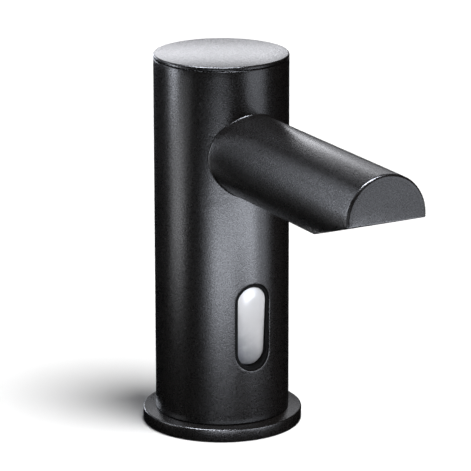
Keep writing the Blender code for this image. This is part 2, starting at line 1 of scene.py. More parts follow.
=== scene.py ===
"""Looks of the deck-mounted soap dispenser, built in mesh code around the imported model.

Positions are in millimetres here and become metres on the way into a mesh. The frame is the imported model's:
the origin is the centre of the flange's underside, +Z is up and the spout points along -Y.
"""

import json
import math

import bmesh
import bpy
import numpy as np
from mathutils import Matrix, Vector

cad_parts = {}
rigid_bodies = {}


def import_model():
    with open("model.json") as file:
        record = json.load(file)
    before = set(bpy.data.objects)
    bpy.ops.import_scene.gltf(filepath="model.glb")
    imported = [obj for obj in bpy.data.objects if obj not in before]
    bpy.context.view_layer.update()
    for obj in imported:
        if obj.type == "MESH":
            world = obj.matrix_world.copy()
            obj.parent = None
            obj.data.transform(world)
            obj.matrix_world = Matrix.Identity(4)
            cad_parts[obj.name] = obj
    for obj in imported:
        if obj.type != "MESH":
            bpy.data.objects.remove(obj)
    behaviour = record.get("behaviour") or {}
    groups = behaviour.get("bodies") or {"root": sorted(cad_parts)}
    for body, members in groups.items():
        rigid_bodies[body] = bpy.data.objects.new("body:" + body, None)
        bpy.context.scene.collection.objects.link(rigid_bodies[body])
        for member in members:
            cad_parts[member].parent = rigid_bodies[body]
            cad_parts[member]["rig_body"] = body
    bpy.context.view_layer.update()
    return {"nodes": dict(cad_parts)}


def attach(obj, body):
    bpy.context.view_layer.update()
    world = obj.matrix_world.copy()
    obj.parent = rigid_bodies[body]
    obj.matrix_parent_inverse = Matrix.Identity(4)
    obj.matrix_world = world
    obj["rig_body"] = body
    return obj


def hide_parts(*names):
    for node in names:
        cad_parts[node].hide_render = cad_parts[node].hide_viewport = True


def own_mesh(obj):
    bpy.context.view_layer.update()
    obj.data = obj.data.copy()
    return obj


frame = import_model()
NODE_BODY = {name: obj["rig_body"] for name, obj in frame["nodes"].items()}

MM = 0.001
BODY_R, BODY_IN = 25.4, 23.0
BODY_Z0, BODY_Z1 = 5.1, 141.3
CAP_Z0, CAP_Z1 = 141.6, 142.9
FLANGE_R, FLANGE_H = 30.3, 4.8
SPOUT_R, SPOUT_IN = 15.8, 13.8
SPOUT_Z, SPOUT_REACH = 108.6, 121.9
TIP_Z, SLOPE = 107.3, 0.3354
WINDOW_Z, WINDOW_W, WINDOW_H = 42.5, 14.3, 33.8
NOZZLE_S = 104.0
SHANK_R, SHANK_BORE, SHANK_END = 13.5, 10.5, -58.0
PUMP_X, PUMP_Y, PUMP_R = 0.0, 3.0, 18.5
UNDER_N = Vector((0, SLOPE, 1)).normalized()

# local (u, v, s) -> world (u, -s, v): s is the distance towards the front
FRONT = Matrix(((1, 0, 0, 0), (0, 0, -1, 0), (0, 1, 0, 0), (0, 0, 0, 1)))
ONE = Matrix.Identity(4)

LOOKS = bpy.data.collections.new("looks")
STUDIO = bpy.data.collections.new("studio")
bpy.context.scene.collection.children.link(LOOKS)
bpy.context.scene.collection.children.link(STUDIO)


# ------------------------------------------------------------------ mesh tools
def at(x=0.0, y=0.0, z=0.0):
    return Matrix.Translation((x, y, z))


def facing(origin, direction):
    """Local +Z along the direction, from the origin."""
    turn = Vector((0, 0, 1)).rotation_difference(Vector(direction).normalized())
    return Matrix.Translation(origin) @ turn.to_matrix().to_4x4()


def settle(name, bm, sharp=32.0, matrix=None):
    """One smooth-shaded mesh in metres, with its real corners marked sharp."""
    if matrix is not None:
        bmesh.ops.transform(bm, matrix=matrix, verts=bm.verts)
    bmesh.ops.remove_doubles(bm, verts=bm.verts, dist=1e-4)
    bmesh.ops.dissolve_degenerate(bm, edges=bm.edges, dist=1e-5)
    bmesh.ops.recalc_face_normals(bm, faces=bm.faces)
    limit = math.radians(sharp)
    for f in bm.faces:
        f.smooth = True
    for e in bm.edges:
        e.smooth = len(e.link_faces) != 2 or e.calc_face_angle(0) < limit
    bmesh.ops.scale(bm, vec=(MM, MM, MM), verts=bm.verts)
    mesh = bpy.data.meshes.new(name)
    bm.to_mesh(mesh)
    bm.free()
    return mesh


def rounded(profile, radius=0.12, steps=3):
    """A (r, z) or (r, z, radius) profile with each corner turned into a small arc."""
    pts = [Vector((p[0], p[1])) for p in profile]
    rad = [p[2] if len(p) > 2 else radius for p in profile]
    is_open = pts[0].x == 0 and pts[-1].x == 0
    out = []
    for i, p in enumerate(pts):
        a, b = pts[i - 1], pts[(i + 1) % len(pts)]
        u, w = a - p, b - p
        if (is_open and i in (0, len(pts) - 1)) or rad[i] <= 0 or u.length < 1e-6 or w.length < 1e-6:
            out.append(p)
            continue
        lu, lw = u.length, w.length
        u, w = u / lu, w / lw
        angle = math.acos(max(-1.0, min(1.0, u.dot(w))))
        if angle > math.radians(168) or angle < math.radians(5):
            out.append(p)
            continue
        cut = min(rad[i] / math.tan(angle / 2), 0.45 * lu, 0.45 * lw)
        r = cut * math.tan(angle / 2)
        centre = p + (u + w).normalized() * (r / math.sin(angle / 2))
        s, e = p + u * cut - centre, p + w * cut - centre
        a0 = math.atan2(s.y, s.x)
        turn = math.atan2(s.x * e.y - s.y * e.x, s.dot(e))
        for k in range(steps + 1):
            t = a0 + turn * k / steps
            out.append(centre + Vector((math.cos(t), math.sin(t))) * r)
    return [(max(p.x, 0.0), p.y) for p in out]


def turned(profile, segments=96, closed=None):
    """A turned form as a bmesh."""
    bm = bmesh.new()
    rows = []
    for r, z in profile:
        if r < 1e-9:
            rows.append([bm.verts.new((0, 0, z))] * segments)
        else:
            rows.append(
                [bm.verts.new((r * math.cos(math.tau * i / segments), r * math.sin(math.tau * i / segments), z)) for i in range(segments)]
            )
    if closed is None:
        closed = not (profile[0][0] < 1e-9 and profile[-1][0] < 1e-9)
    pairs = list(zip(rows, rows[1:])) + ([(rows[-1], rows[0])] if closed else [])
    for a, b in pairs:
        for i in range(segments):
            j = (i + 1) % segments
            face = []
            for v in (a[i], a[j], b[j], b[i]):
                if v not in face:
                    face.append(v)
            if len(face) > 2:
                bm.faces.new(face)
    return bm


def lathe(name, profile, matrix=None, segments=96, radius=0.12, sharp=32.0):
    return settle(name, turned(rounded(profile, radius), segments), sharp, matrix)


def rod(name, r, z0, z1, matrix=None, segments=64, radius=0.12):
    return lathe(name, [(0, z1), (r, z1), (r, z0), (0, z0)], matrix, segments, radius)


def ring(name, r0, r1, z0, z1, matrix=None, segments=96, radius=0.12):
    return lathe(name, [(r0, z1), (r1, z1), (r1, z0), (r0, z0)], matrix, segments, radius)


def block(name, x0, x1, y0, y1, z0, z1, matrix=None, radius=0.2, steps=2):
    bm = bmesh.new()
    bmesh.ops.create_cube(bm, size=1.0)
    for v in bm.verts:
        v.co = Vector(
            ((x0 + x1) / 2 + v.co.x * (x1 - x0), (y0 + y1) / 2 + v.co.y * (y1 - y0), (z0 + z1) / 2 + v.co.z * (z1 - z0))
        )
    if radius:
        bmesh.ops.bevel(bm, geom=bm.edges[:], offset=radius, segments=steps, profile=0.5, affect="EDGES", clamp_overlap=True)
    return settle(name, bm, 40, matrix)


def prism(name, outline, d0, d1, matrix=None, radius=0.0, steps=2, sharp=32.0):
    """An outline in local XY carried along local Z, with its two rims rounded."""
    bm = bmesh.new()
    face = bm.faces.new([bm.verts.new((x, y, d0)) for x, y in outline])
    grown = bmesh.ops.extrude_face_region(bm, geom=[face])
    for v in grown["geom"]:
        if isinstance(v, bmesh.types.BMVert):
            v.co.z = d1
    bmesh.ops.recalc_face_normals(bm, faces=bm.faces)
    if radius:
        rims = [e for e in bm.edges if abs(e.verts[0].co.z - e.verts[1].co.z) < 1e-6]
        bmesh.ops.bevel(bm, geom=rims, offset=radius, segments=steps, profile=0.5, affect="EDGES", clamp_overlap=True)
    return settle(name, bm, sharp, matrix)


def stadium(width, height, cx=0.0, cy=0.0, n=24):
    r, h = width / 2, height / 2 - width / 2
    top = [(cx + r * math.cos(math.pi * i / n), cy + h + r * math.sin(math.pi * i / n)) for i in range(n + 1)]
    return top + [(2 * cx - x, 2 * cy - y) for x, y in top]


def smooth_path(points, per=8):
    """Points on a curve through the given points (Catmull-Rom)."""
    p = [Vector(q) for q in points]
    p = [p[0] * 2 - p[1]] + p + [p[-1] * 2 - p[-2]]
    out = []
    for i in range(1, len(p) - 2):
        for k in range(per):
            t = k / per
            out.append(
                0.5
                * (2 * p[i] + (p[i + 1] - p[i - 1]) * t + (2 * p[i - 1] - 5 * p[i] + 4 * p[i + 1] - p[i + 2]) * t * t + (3 * p[i] - p[i - 1] - 3 * p[i + 1] + p[i + 2]) * t**3)
            )
    out.append(p[-2])
    return out


def sweep(name, points, r, sides=20, wall=None, matrix=None, sharp=40.0):
    """A round cord along the points. With a wall it is a hose, open at both ends."""
    pts = [Vector(p) for p in points]
    tangents = [(pts[min(i + 1, len(pts) - 1)] - pts[max(i - 1, 0)]).normalized() for i in range(len(pts))]
    normal = tangents[0].orthogonal().normalized()
    frames = []
    for t in tangents:
        normal = (normal - t * normal.dot(t)).normalized()
        frames.append((normal.copy(), t.cross(normal)))
    bm = bmesh.new()

    def skin(radius):
        rows = []
        for p, (a, b) in zip(pts, frames):
            rows.append([bm.verts.new(p + (a * math.cos(math.tau * k / sides) + b * math.sin(math.tau * k / sides)) * radius) for k in range(sides)])
        for one, two in zip(rows, rows[1:]):
            for k in range(sides):
                bm.faces.new((one[k], one[(k + 1) % sides], two[(k + 1) % sides], two[k]))
        return rows

    outer = skin(r)
    if wall is None:
        bm.faces.new(outer[0])
        bm.faces.new(outer[-1])
    else:
        inner = skin(r - wall)
        for a, b in ((outer[0], inner[0]), (outer[-1], inner[-1])):
            for k in range(sides):
                bm.faces.new((a[k], a[(k + 1) % sides], b[(k + 1) % sides], b[k]))
    return settle(name, bm, sharp, matrix)


def carve(mesh, *steps):
    """The mesh after Boolean steps, each a (mesh, operation) pair. The helpers are used up."""
    base = bpy.data.objects.new(mesh.name, mesh)
    LOOKS.objects.link(base)
    helpers = []
    for other, how in steps:
        helper = bpy.data.objects.new("helper", other)
        LOOKS.objects.link(helper)
        helpers.append(helper)
        m = base.modifiers.new("carve", "BOOLEAN")
        m.operation, m.solver, m.object = how, "EXACT", helper
    bpy.context.view_layer.update()
    made = bpy.data.meshes.new_from_object(base.evaluated_get(bpy.context.evaluated_depsgraph_get()))
    made.name = mesh.name
    for o in [base] + helpers:
        bpy.data.objects.remove(o)
    bm = bmesh.new()
    bm.from_mesh(made)
    for f in bm.faces:
        f.smooth = True
    limit = math.radians(32)
    for e in bm.edges:
        e.smooth = len(e.link_faces) != 2 or e.calc_face_angle(0) < limit
    bm.to_mesh(made)
    bm.free()
    made.materials.clear()
    return made


def joined(name, *meshes):
    """Several closed meshes of one part as one mesh."""
    bm = bmesh.new()
    for mesh in meshes:
        bm.from_mesh(mesh)
    made = bpy.data.meshes.new(name)
    bm.to_mesh(made)
    bm.free()
    return made


CUT, ADD, KEEP = "DIFFERENCE", "UNION", "INTERSECT"


def piece(node, mesh, material, suffix="_fine", also=()):
    """A finished piece that stands for a CAD node and rides where that node rides."""
    obj = bpy.data.objects.new(node + suffix, mesh)
    LOOKS.objects.link(obj)
    mesh.materials.clear()
    mesh.materials.append(material)
    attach(obj, NODE_BODY[node])
    if suffix == "_fine":
        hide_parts(node, *also)
    return obj


# ------------------------------------------------------------------ materials
class Nodes:
    """Short names for the node types that the materials use."""

    def __init__(self, name):
        self.material = bpy.data.materials.new(name)
        self.material.use_nodes = True
        self.tree = self.material.node_tree
        self.shader = self.tree.nodes["Principled BSDF"]
        self.coord = self.tree.nodes.new("ShaderNodeTexCoord").outputs["Object"]

    def link(self, a, b):
        self.tree.links.new(a, b)

    def put(self, socket, value):
        if isinstance(value, bpy.types.NodeSocket):
            self.link(value, socket)
        else:
            socket.default_value = value

    def noise(self, scale, detail=2.0, rough=0.5, vector=None, distortion=0.0):
        n = self.tree.nodes.new("ShaderNodeTexNoise")
        self.link(vector or self.coord, n.inputs["Vector"])
        n.inputs["Scale"].default_value = scale
        n.inputs["Detail"].default_value = detail
        n.inputs["Roughness"].default_value = rough
        n.inputs["Distortion"].default_value = distortion
        return n.outputs["Fac"]

    def cells(self, scale, feature="F1", vector=None, output="Distance", randomness=1.0):
        n = self.tree.nodes.new("ShaderNodeTexVoronoi")
        n.feature = feature
        self.link(vector or self.coord, n.inputs["Vector"])
        n.inputs["Scale"].default_value = scale
        n.inputs["Randomness"].default_value = randomness
        return n.outputs[output]

    def wave(self, scale, direction="Z", distortion=0.0, vector=None, profile="SIN"):
        n = self.tree.nodes.new("ShaderNodeTexWave")
        n.bands_direction = direction
        n.wave_profile = profile
        self.link(vector or self.coord, n.inputs["Vector"])
        n.inputs["Scale"].default_value = scale
        n.inputs["Distortion"].default_value = distortion
        return n.outputs["Fac"]

    def span(self, value, a, b, lo, hi, kind="LINEAR"):
        """The value's range a..b carried to lo..hi and clamped."""
        n = self.tree.nodes.new("ShaderNodeMapRange")
        n.interpolation_type = kind
        self.link(value, n.inputs["Value"])
        for key, v in (("From Min", a), ("From Max", b), ("To Min", lo), ("To Max", hi)):
            n.inputs[key].default_value = v
        return n.outputs["Result"]

    def math(self, op, a, b=0.0):
        n = self.tree.nodes.new("ShaderNodeMath")
        n.operation = op
        self.put(n.inputs[0], a)
        self.put(n.inputs[1], b)
        return n.outputs[0]

    def mix(self, factor, a, b):
        n = self.tree.nodes.new("ShaderNodeMix")
        n.data_type = "RGBA"
        self.put(n.inputs[0], factor)
        for socket, v in ((n.inputs[6], a), (n.inputs[7], b)):
            self.put(socket, v if isinstance(v, bpy.types.NodeSocket) else (*v, 1.0))
        return n.outputs[2]

    def scaled(self, x, y, z):
        n = self.tree.nodes.new("ShaderNodeMapping")
        self.link(self.coord, n.inputs["Vector"])
        n.inputs["Scale"].default_value = (x, y, z)
        return n.outputs["Vector"]

    def bump(self, height, distance, strength=1.0, normal=None):
        n = self.tree.nodes.new("ShaderNodeBump")
        n.inputs["Strength"].default_value = strength
        n.inputs["Distance"].default_value = distance
        self.link(height, n.inputs["Height"])
        if normal is not None:
            self.link(normal, n.inputs["Normal"])
        return n.outputs["Normal"]

    def worn(self, amount=1.0):
        """High on convex edges, from the mesh's own pointiness."""
        n = self.tree.nodes.new("ShaderNodeNewGeometry")
        return self.span(n.outputs["Pointiness"], 0.52, 0.60, 0.0, amount)

    def done(self, **values):
        for key, value in values.items():
            self.put(self.shader.inputs[key.replace("_", " ")], value if not isinstance(value, tuple) else (*value, 1.0))
        return self.material


def coat_material(name, tone, rough, grain, seed):
    """Satin powder coat: a fine dimpled skin with a few bright flakes and faint cloudiness."""
    n = Nodes(name)
    moved = n.tree.nodes.new("ShaderNodeMapping")
    n.link(n.coord, moved.inputs["Vector"])
    moved.inputs["Location"].default_value = (seed, seed * 0.7, seed * 1.3)
    v = moved.outputs["Vector"]
    fine = n.noise(3300, 2.0, 0.5, v)
    skin = n.noise(1900, 2.0, 0.5, v)
    cloud = n.noise(430, 2.0, 0.5, v)
    broad = n.noise(60, 2.0, 0.5, v)
    flakes = n.span(n.cells(900, "F1", v), 0.0, 0.16, 1.0, 0.0)
    pick = n.span(n.noise(520, 1.0, 0.5, v), 0.60, 0.64, 0.0, 1.0)
    spark = n.math("MULTIPLY", flakes, pick)
    base = n.mix(n.span(skin, 0.3, 0.7, 0.0, 1.0), tuple(c * 0.80 for c in tone), tuple(c * 1.25 for c in tone))
    base = n.mix(n.math("MULTIPLY", spark, 0.6), base, (0.30, 0.31, 0.33))
    r = n.math("ADD", n.span(skin, 0.3, 0.7, rough - 0.05, rough + 0.05), n.span(broad, 0.3, 0.7, -0.012, 0.012))
    normal = n.bump(cloud, 0.00003 * grain, 1.0)
    normal = n.bump(skin, 0.000040 * grain, 1.0, normal)
    normal = n.bump(fine, 0.000020 * grain, 1.0, normal)
    n.shader.inputs["IOR"].default_value = 1.5
    return n.done(Base_Color=base, Roughness=r, Normal=normal)


COAT = coat_material("black_coat", (0.0060, 0.0050, 0.0045), 0.28, 1.0, 0.0)


def rubber_material(name, tone=(0.012, 0.012, 0.012), rough=0.62, gloss=0.5):
    n = Nodes(name)
    n.shader.inputs["Specular IOR Level"].default_value = gloss
    fine = n.noise(3800, 3.0, 0.6)
    dust = n.noise(240, 3.0, 0.6)
    base = n.mix(n.span(dust, 0.45, 0.75, 0.0, 1.0), tone, tuple(c * 1.8 for c in tone))
    return n.done(Base_Color=base, Roughness=n.span(fine, 0.3, 0.7, rough - 0.07, rough + 0.07), Normal=n.bump(fine, 0.00001))


def plastic_material(name, tone, rough=0.42, speck=0.12):
    """Moulded plastic: an even spark-eroded grain with faint flow marks."""
    n = Nodes(name)
    grain = n.noise(3000, 2.0, 0.55)
    flow = n.noise(90, 3.0, 0.6, n.scaled(1, 1, 0.35), 0.6)
    base = n.mix(n.span(flow, 0.3, 0.7, 0.0, 1.0), tuple(c * (1 - speck) for c in tone), tuple(min(1.0, c * (1 + speck * 0.6)) for c in tone))
    base = n.mix(n.worn(0.25), base, tuple(min(1.0, c * 1.25 + 0.01) for c in tone))
    return n.done(Base_Color=base, Roughness=n.span(grain, 0.3, 0.7, rough - 0.05, rough + 0.06), Normal=n.bump(grain, 0.000012))


def metal_material(name, tone, rough=0.28, lines=(1, 1, 14), dull=(0.5, 0.5, 0.5)):
    """Machined metal: fine tool lines, handling marks and a slightly duller tone in patches."""
    n = Nodes(name)
    tool = n.noise(700, 3.0, 0.7, n.scaled(*lines))
    marks = n.noise(180, 4.0, 0.6)
    base = n.mix(n.span(marks, 0.35, 0.75, 0.0, 0.55), tone, tuple(a * b for a, b in zip(tone, dull)))
    r = n.math("ADD", n.span(tool, 0.3, 0.7, rough - 0.07, rough + 0.08), n.span(marks, 0.4, 0.7, 0.0, 0.10))
    n.shader.inputs["Metallic"].default_value = 1.0
    return n.done(Base_Color=base, Roughness=r, Normal=n.bump(tool, 0.000008))


def clear_material(name, tone, rough, alpha_weight, ior=1.45):
    """Slightly milky flexible tube or clear moulding."""
    n = Nodes(name)
    haze = n.noise(300, 3.0, 0.6)
    fine = n.noise(2600, 2.0, 0.5)
    base = n.mix(n.span(haze, 0.3, 0.7, 0.0, 1.0), tuple(c * 0.9 for c in tone), tone)
    n.shader.inputs["Transmission Weight"].default_value = alpha_weight
    n.shader.inputs["IOR"].default_value = ior
    return n.done(Base_Color=base, Roughness=n.span(haze, 0.3, 0.7, rough - 0.05, rough + 0.07), Normal=n.bump(fine, 0.000008))


def laminate_material(name):
    """Circuit board: green mask over copper tracks, with the glass weave showing faintly."""
    n = Nodes(name)
    weave = n.math("MULTIPLY", n.wave(700, "X"), n.wave(700, "Y"))
    grid = n.tree.nodes.new("ShaderNodeTexBrick")
    n.link(n.coord, grid.inputs["Vector"])
    grid.inputs["Scale"].default_value = 260
    grid.inputs["Mortar Size"].default_value = 0.10
    grid.inputs["Mortar Smooth"].default_value = 0.3
    grid.inputs["Color1"].default_value = (0, 0, 0, 1)
    grid.inputs["Color2"].default_value = (0.35, 0.35, 0.35, 1)
    grid.inputs["Mortar"].default_value = (1, 1, 1, 1)
    tracks = grid.outputs["Color"]
    vias = n.span(n.cells(340, "F1", None, "Distance", 0.35), 0.10, 0.14, 1.0, 0.0)
    base = n.mix(tracks, (0.008, 0.085, 0.035), (0.015, 0.16, 0.065))
    base = n.mix(n.math("MULTIPLY", vias, 0.8), base, (0.62, 0.55, 0.32))
    base = n.mix(n.math("MULTIPLY", weave, 0.08), base, (0.1, 0.3, 0.15))
    return n.done(Base_Color=base, Roughness=n.span(n.noise(500), 0.3, 0.7, 0.22, 0.34), Normal=n.bump(tracks, 0.00003))


def lens_material(name):
    """Smoke-grey infrared window, its colour a painted reflection: light grey above, shading to a painted darker
    reflection in its lower left.
    """
    n = Nodes(name)
    haze = n.noise(240, 3.0, 0.6)
    fine = n.noise(1500, 2.0, 0.5)
    place = n.tree.nodes.new("ShaderNodeSeparateXYZ")
    n.link(n.coord, place.inputs[0])
    # painted reflection: the colour runs from light grey in the upper right to dark grey in the lower left, standing in
    # for a bright softbox's reflection and its edge
    low = n.math("ADD", n.math("MULTIPLY", place.outputs["Z"], 1.0), n.math("MULTIPLY", place.outputs["X"], 1.4))
    up = n.span(low, 0.022, 0.046, 0.0, 1.0, "SMOOTHSTEP")
    base = n.mix(up, (0.22, 0.235, 0.275), (0.66, 0.665, 0.69))
    base = n.mix(n.span(haze, 0.45, 0.8, 0.0, 0.25), base, (0.80, 0.81, 0.83))
    n.shader.inputs["IOR"].default_value = 1.58
    n.shader.inputs["Coat Weight"].default_value = 0.6
    n.shader.inputs["Coat Roughness"].default_value = 0.04
    return n.done(Base_Color=base, Roughness=n.span(haze, 0.3, 0.7, 0.16, 0.26), Normal=n.bump(fine, 0.000004))


RUBBER = rubber_material("black_rubber")
# the window gasket is black rubber darkened further and nearly without gloss: painted shade for the deep recess round
# the sensor window
GASKET_IN_SHADE = rubber_material("gasket_rubber", (0.0022, 0.0022, 0.0022), 0.55, 0.06)
STEEL = metal_material("plain_steel", (0.62, 0.62, 0.60), 0.26)
BRASS = metal_material("shank_brass", (0.78, 0.57, 0.23), 0.28, (1, 1, 14), (0.8, 0.66, 0.5))
BLACK = plastic_material("black_plastic", (0.020, 0.020, 0.022), 0.46, 0.25)
WHITE = plastic_material("white_plastic", (0.76, 0.76, 0.72), 0.40, 0.05)
BLUE = plastic_material("rotor_plastic", (0.05, 0.16, 0.48), 0.38, 0.12)
BOARD = laminate_material("board_laminate")
LENS = lens_material("grey_lens")
CLEAR = clear_material("clear_plastic", (0.90, 0.93, 0.93), 0.22, 0.75)
HOSE = clear_material("clear_hose", (0.88, 0.91, 0.90), 0.30, 0.6, 1.42)
CHIP = plastic_material("component_black", (0.014, 0.014, 0.015), 0.38, 0.2)


# ------------------------------------------------------------------ column
TURNS = 180  # facets round the column


def column():
    bm = bmesh.new()
    cache = {}

    def on(radius, j, z):
        key = (round(radius, 4), j % TURNS, round(z, 4))
        if key not in cache:
            t = math.tau * j / TURNS
            cache[key] = bm.verts.new((radius * math.sin(t), -radius * math.cos(t), z))
        return cache[key]

    def quad(*vs):
        seen = []
        for v in vs:
            if v not in seen:
                seen.append(v)
        if len(seen) > 2:
            bm.faces.new(seen)

    f = 0.35
    holes = {
        "window": (0, 12, WINDOW_Z, WINDOW_W / 2, WINDOW_H / 2 - WINDOW_W / 2, f),
        "spout": (0, 23, SPOUT_Z, SPOUT_IN, 0.0, 0.0),
        "screw": (TURNS // 2, 6, 11.0, 2.3, 0.0, 0.25),
    }
    bands = (
        (5.4, 7.0, 1, None),
        (7.0, 15.0, 8, "screw"),
        (15.0, 21.5, 3, None),
        (21.5, 63.5, 28, "window"),
        (63.5, 88.1, 8, None),
        (88.1, 129.1, 28, "spout"),
        (129.1, 141.0, 4, None),
    )

    def patch(z0, z1, n, centre, w, zc, r, h, fillet):
        turn = math.tau * centre / TURNS
        rim = [(centre - w + k, z0) for k in range(2 * w)]
        rim += [(centre + w, z0 + (z1 - z0) * k / n) for k in range(n)]
        rim += [(centre + w - k, z1) for k in range(2 * w)]
        rim += [(centre - w, z1 - (z1 - z0) * k / n) for k in range(n)]
        rays = []
        for j, z in rim:
            x = BODY_R * math.sin(math.tau * (j - centre) / TURNS)
            base = max(-h, min(h, z - zc))
            d = Vector((x, z - zc - base)).normalized()
            rays.append((x, z, base, d))

        def placed(radius, x, z):
            y = -math.sqrt(radius * radius - x * x)
            return bm.verts.new((x * math.cos(turn) - y * math.sin(turn), x * math.sin(turn) + y * math.cos(turn), z))

        def edge(radius, grow):
            return [placed(radius, (r + grow) * d.x, zc + base + (r + grow) * d.y) for _, _, base, d in rays]

        def fill(a, b):
            for k in range(len(a)):
                m = (k + 1) % len(a)
                quad(a[k], a[m], b[m], b[k])

        outer = [[on(BODY_R, j, z) for j, z in rim]]
        for t in (0.30, 0.55, 0.75, 0.90):
            row = []
            for x, z, base, d in rays:
                qx, qz = (r + fillet) * d.x, zc + base + (r + fillet) * d.y
                a, b = math.asin(x / BODY_R), math.asin(qx / BODY_R)
                row.append(placed(BODY_R, BODY_R * math.sin(a + (b - a) * t), z + (qz - z) * t))
            outer.append(row)
        steps = 6 if fillet else 0
        for k in range(steps + 1):
            a = math.pi / 2 * k / steps if steps else 0.0
            outer.append(edge(BODY_R - fillet * (1 - math.cos(a)), fillet * (1 - math.sin(a))))
        inner = [[on(BODY_IN, j, z) for j, z in rim]]
        for t in (0.4, 0.75):
            row = []
            for (x, z, base, d) in rays:
                qx, qz = r * d.x, zc + base + r * d.y
                xi = x * BODY_IN / BODY_R
                a, b = math.asin(xi / BODY_IN), math.asin(qx / BODY_IN)
                row.append(placed(BODY_IN, BODY_IN * math.sin(a + (b - a) * t), z + (qz - z) * t))
            inner.append(row)
        inner.append(edge(BODY_IN, 0.0))
        for rows in (outer, inner):
            for a, b in zip(rows, rows[1:]):
                fill(a, b)
        fill(outer[-1], inner[-1])

    for z0, z1, n, kind in bands:
        hole = holes.get(kind)
        skipped = set()
        if hole:
            skipped = {(hole[0] - hole[1] + k) % TURNS for k in range(2 * hole[1])}
            patch(z0, z1, n, *hole)
        for radius in (BODY_R, BODY_IN):
            for j in range(TURNS):
                if j in skipped:
                    continue
                for k in range(n):
                    a, b = z0 + (z1 - z0) * k / n, z0 + (z1 - z0) * (k + 1) / n
                    quad(on(radius, j, a), on(radius, j + 1, a), on(radius, j + 1, b), on(radius, j, b))
    q = [math.pi / 2 * k / 4 for k in range(5)]
    top = [(BODY_R - 0.3 + 0.3 * math.cos(a), 141.0 + 0.3 * math.sin(a)) for a in q] + [(BODY_IN + 0.25, 141.3), (BODY_IN, 141.0)]
    low = [(BODY_R - 0.3 + 0.3 * math.cos(a), 5.4 - 0.3 * math.sin(a)) for a in q] + [(BODY_IN + 0.25, 5.1), (BODY_IN, 5.4)]
    for rows in (top, low):
        for (ra, za), (rb, zb) in zip(rows, rows[1:]):
            for j in range(TURNS):
                quad(on(ra, j, za), on(ra, j + 1, za), on(rb, j + 1, zb), on(rb, j, zb))
    return settle("body_column_fine", bm, 30)


# ------------------------------------------------------------------ spout
SIDE_LINES = 60


def under(s):
    """Height of the slanted underside over the spout's axis."""
    return TIP_Z - (SPOUT_REACH - s) * SLOPE - SPOUT_Z


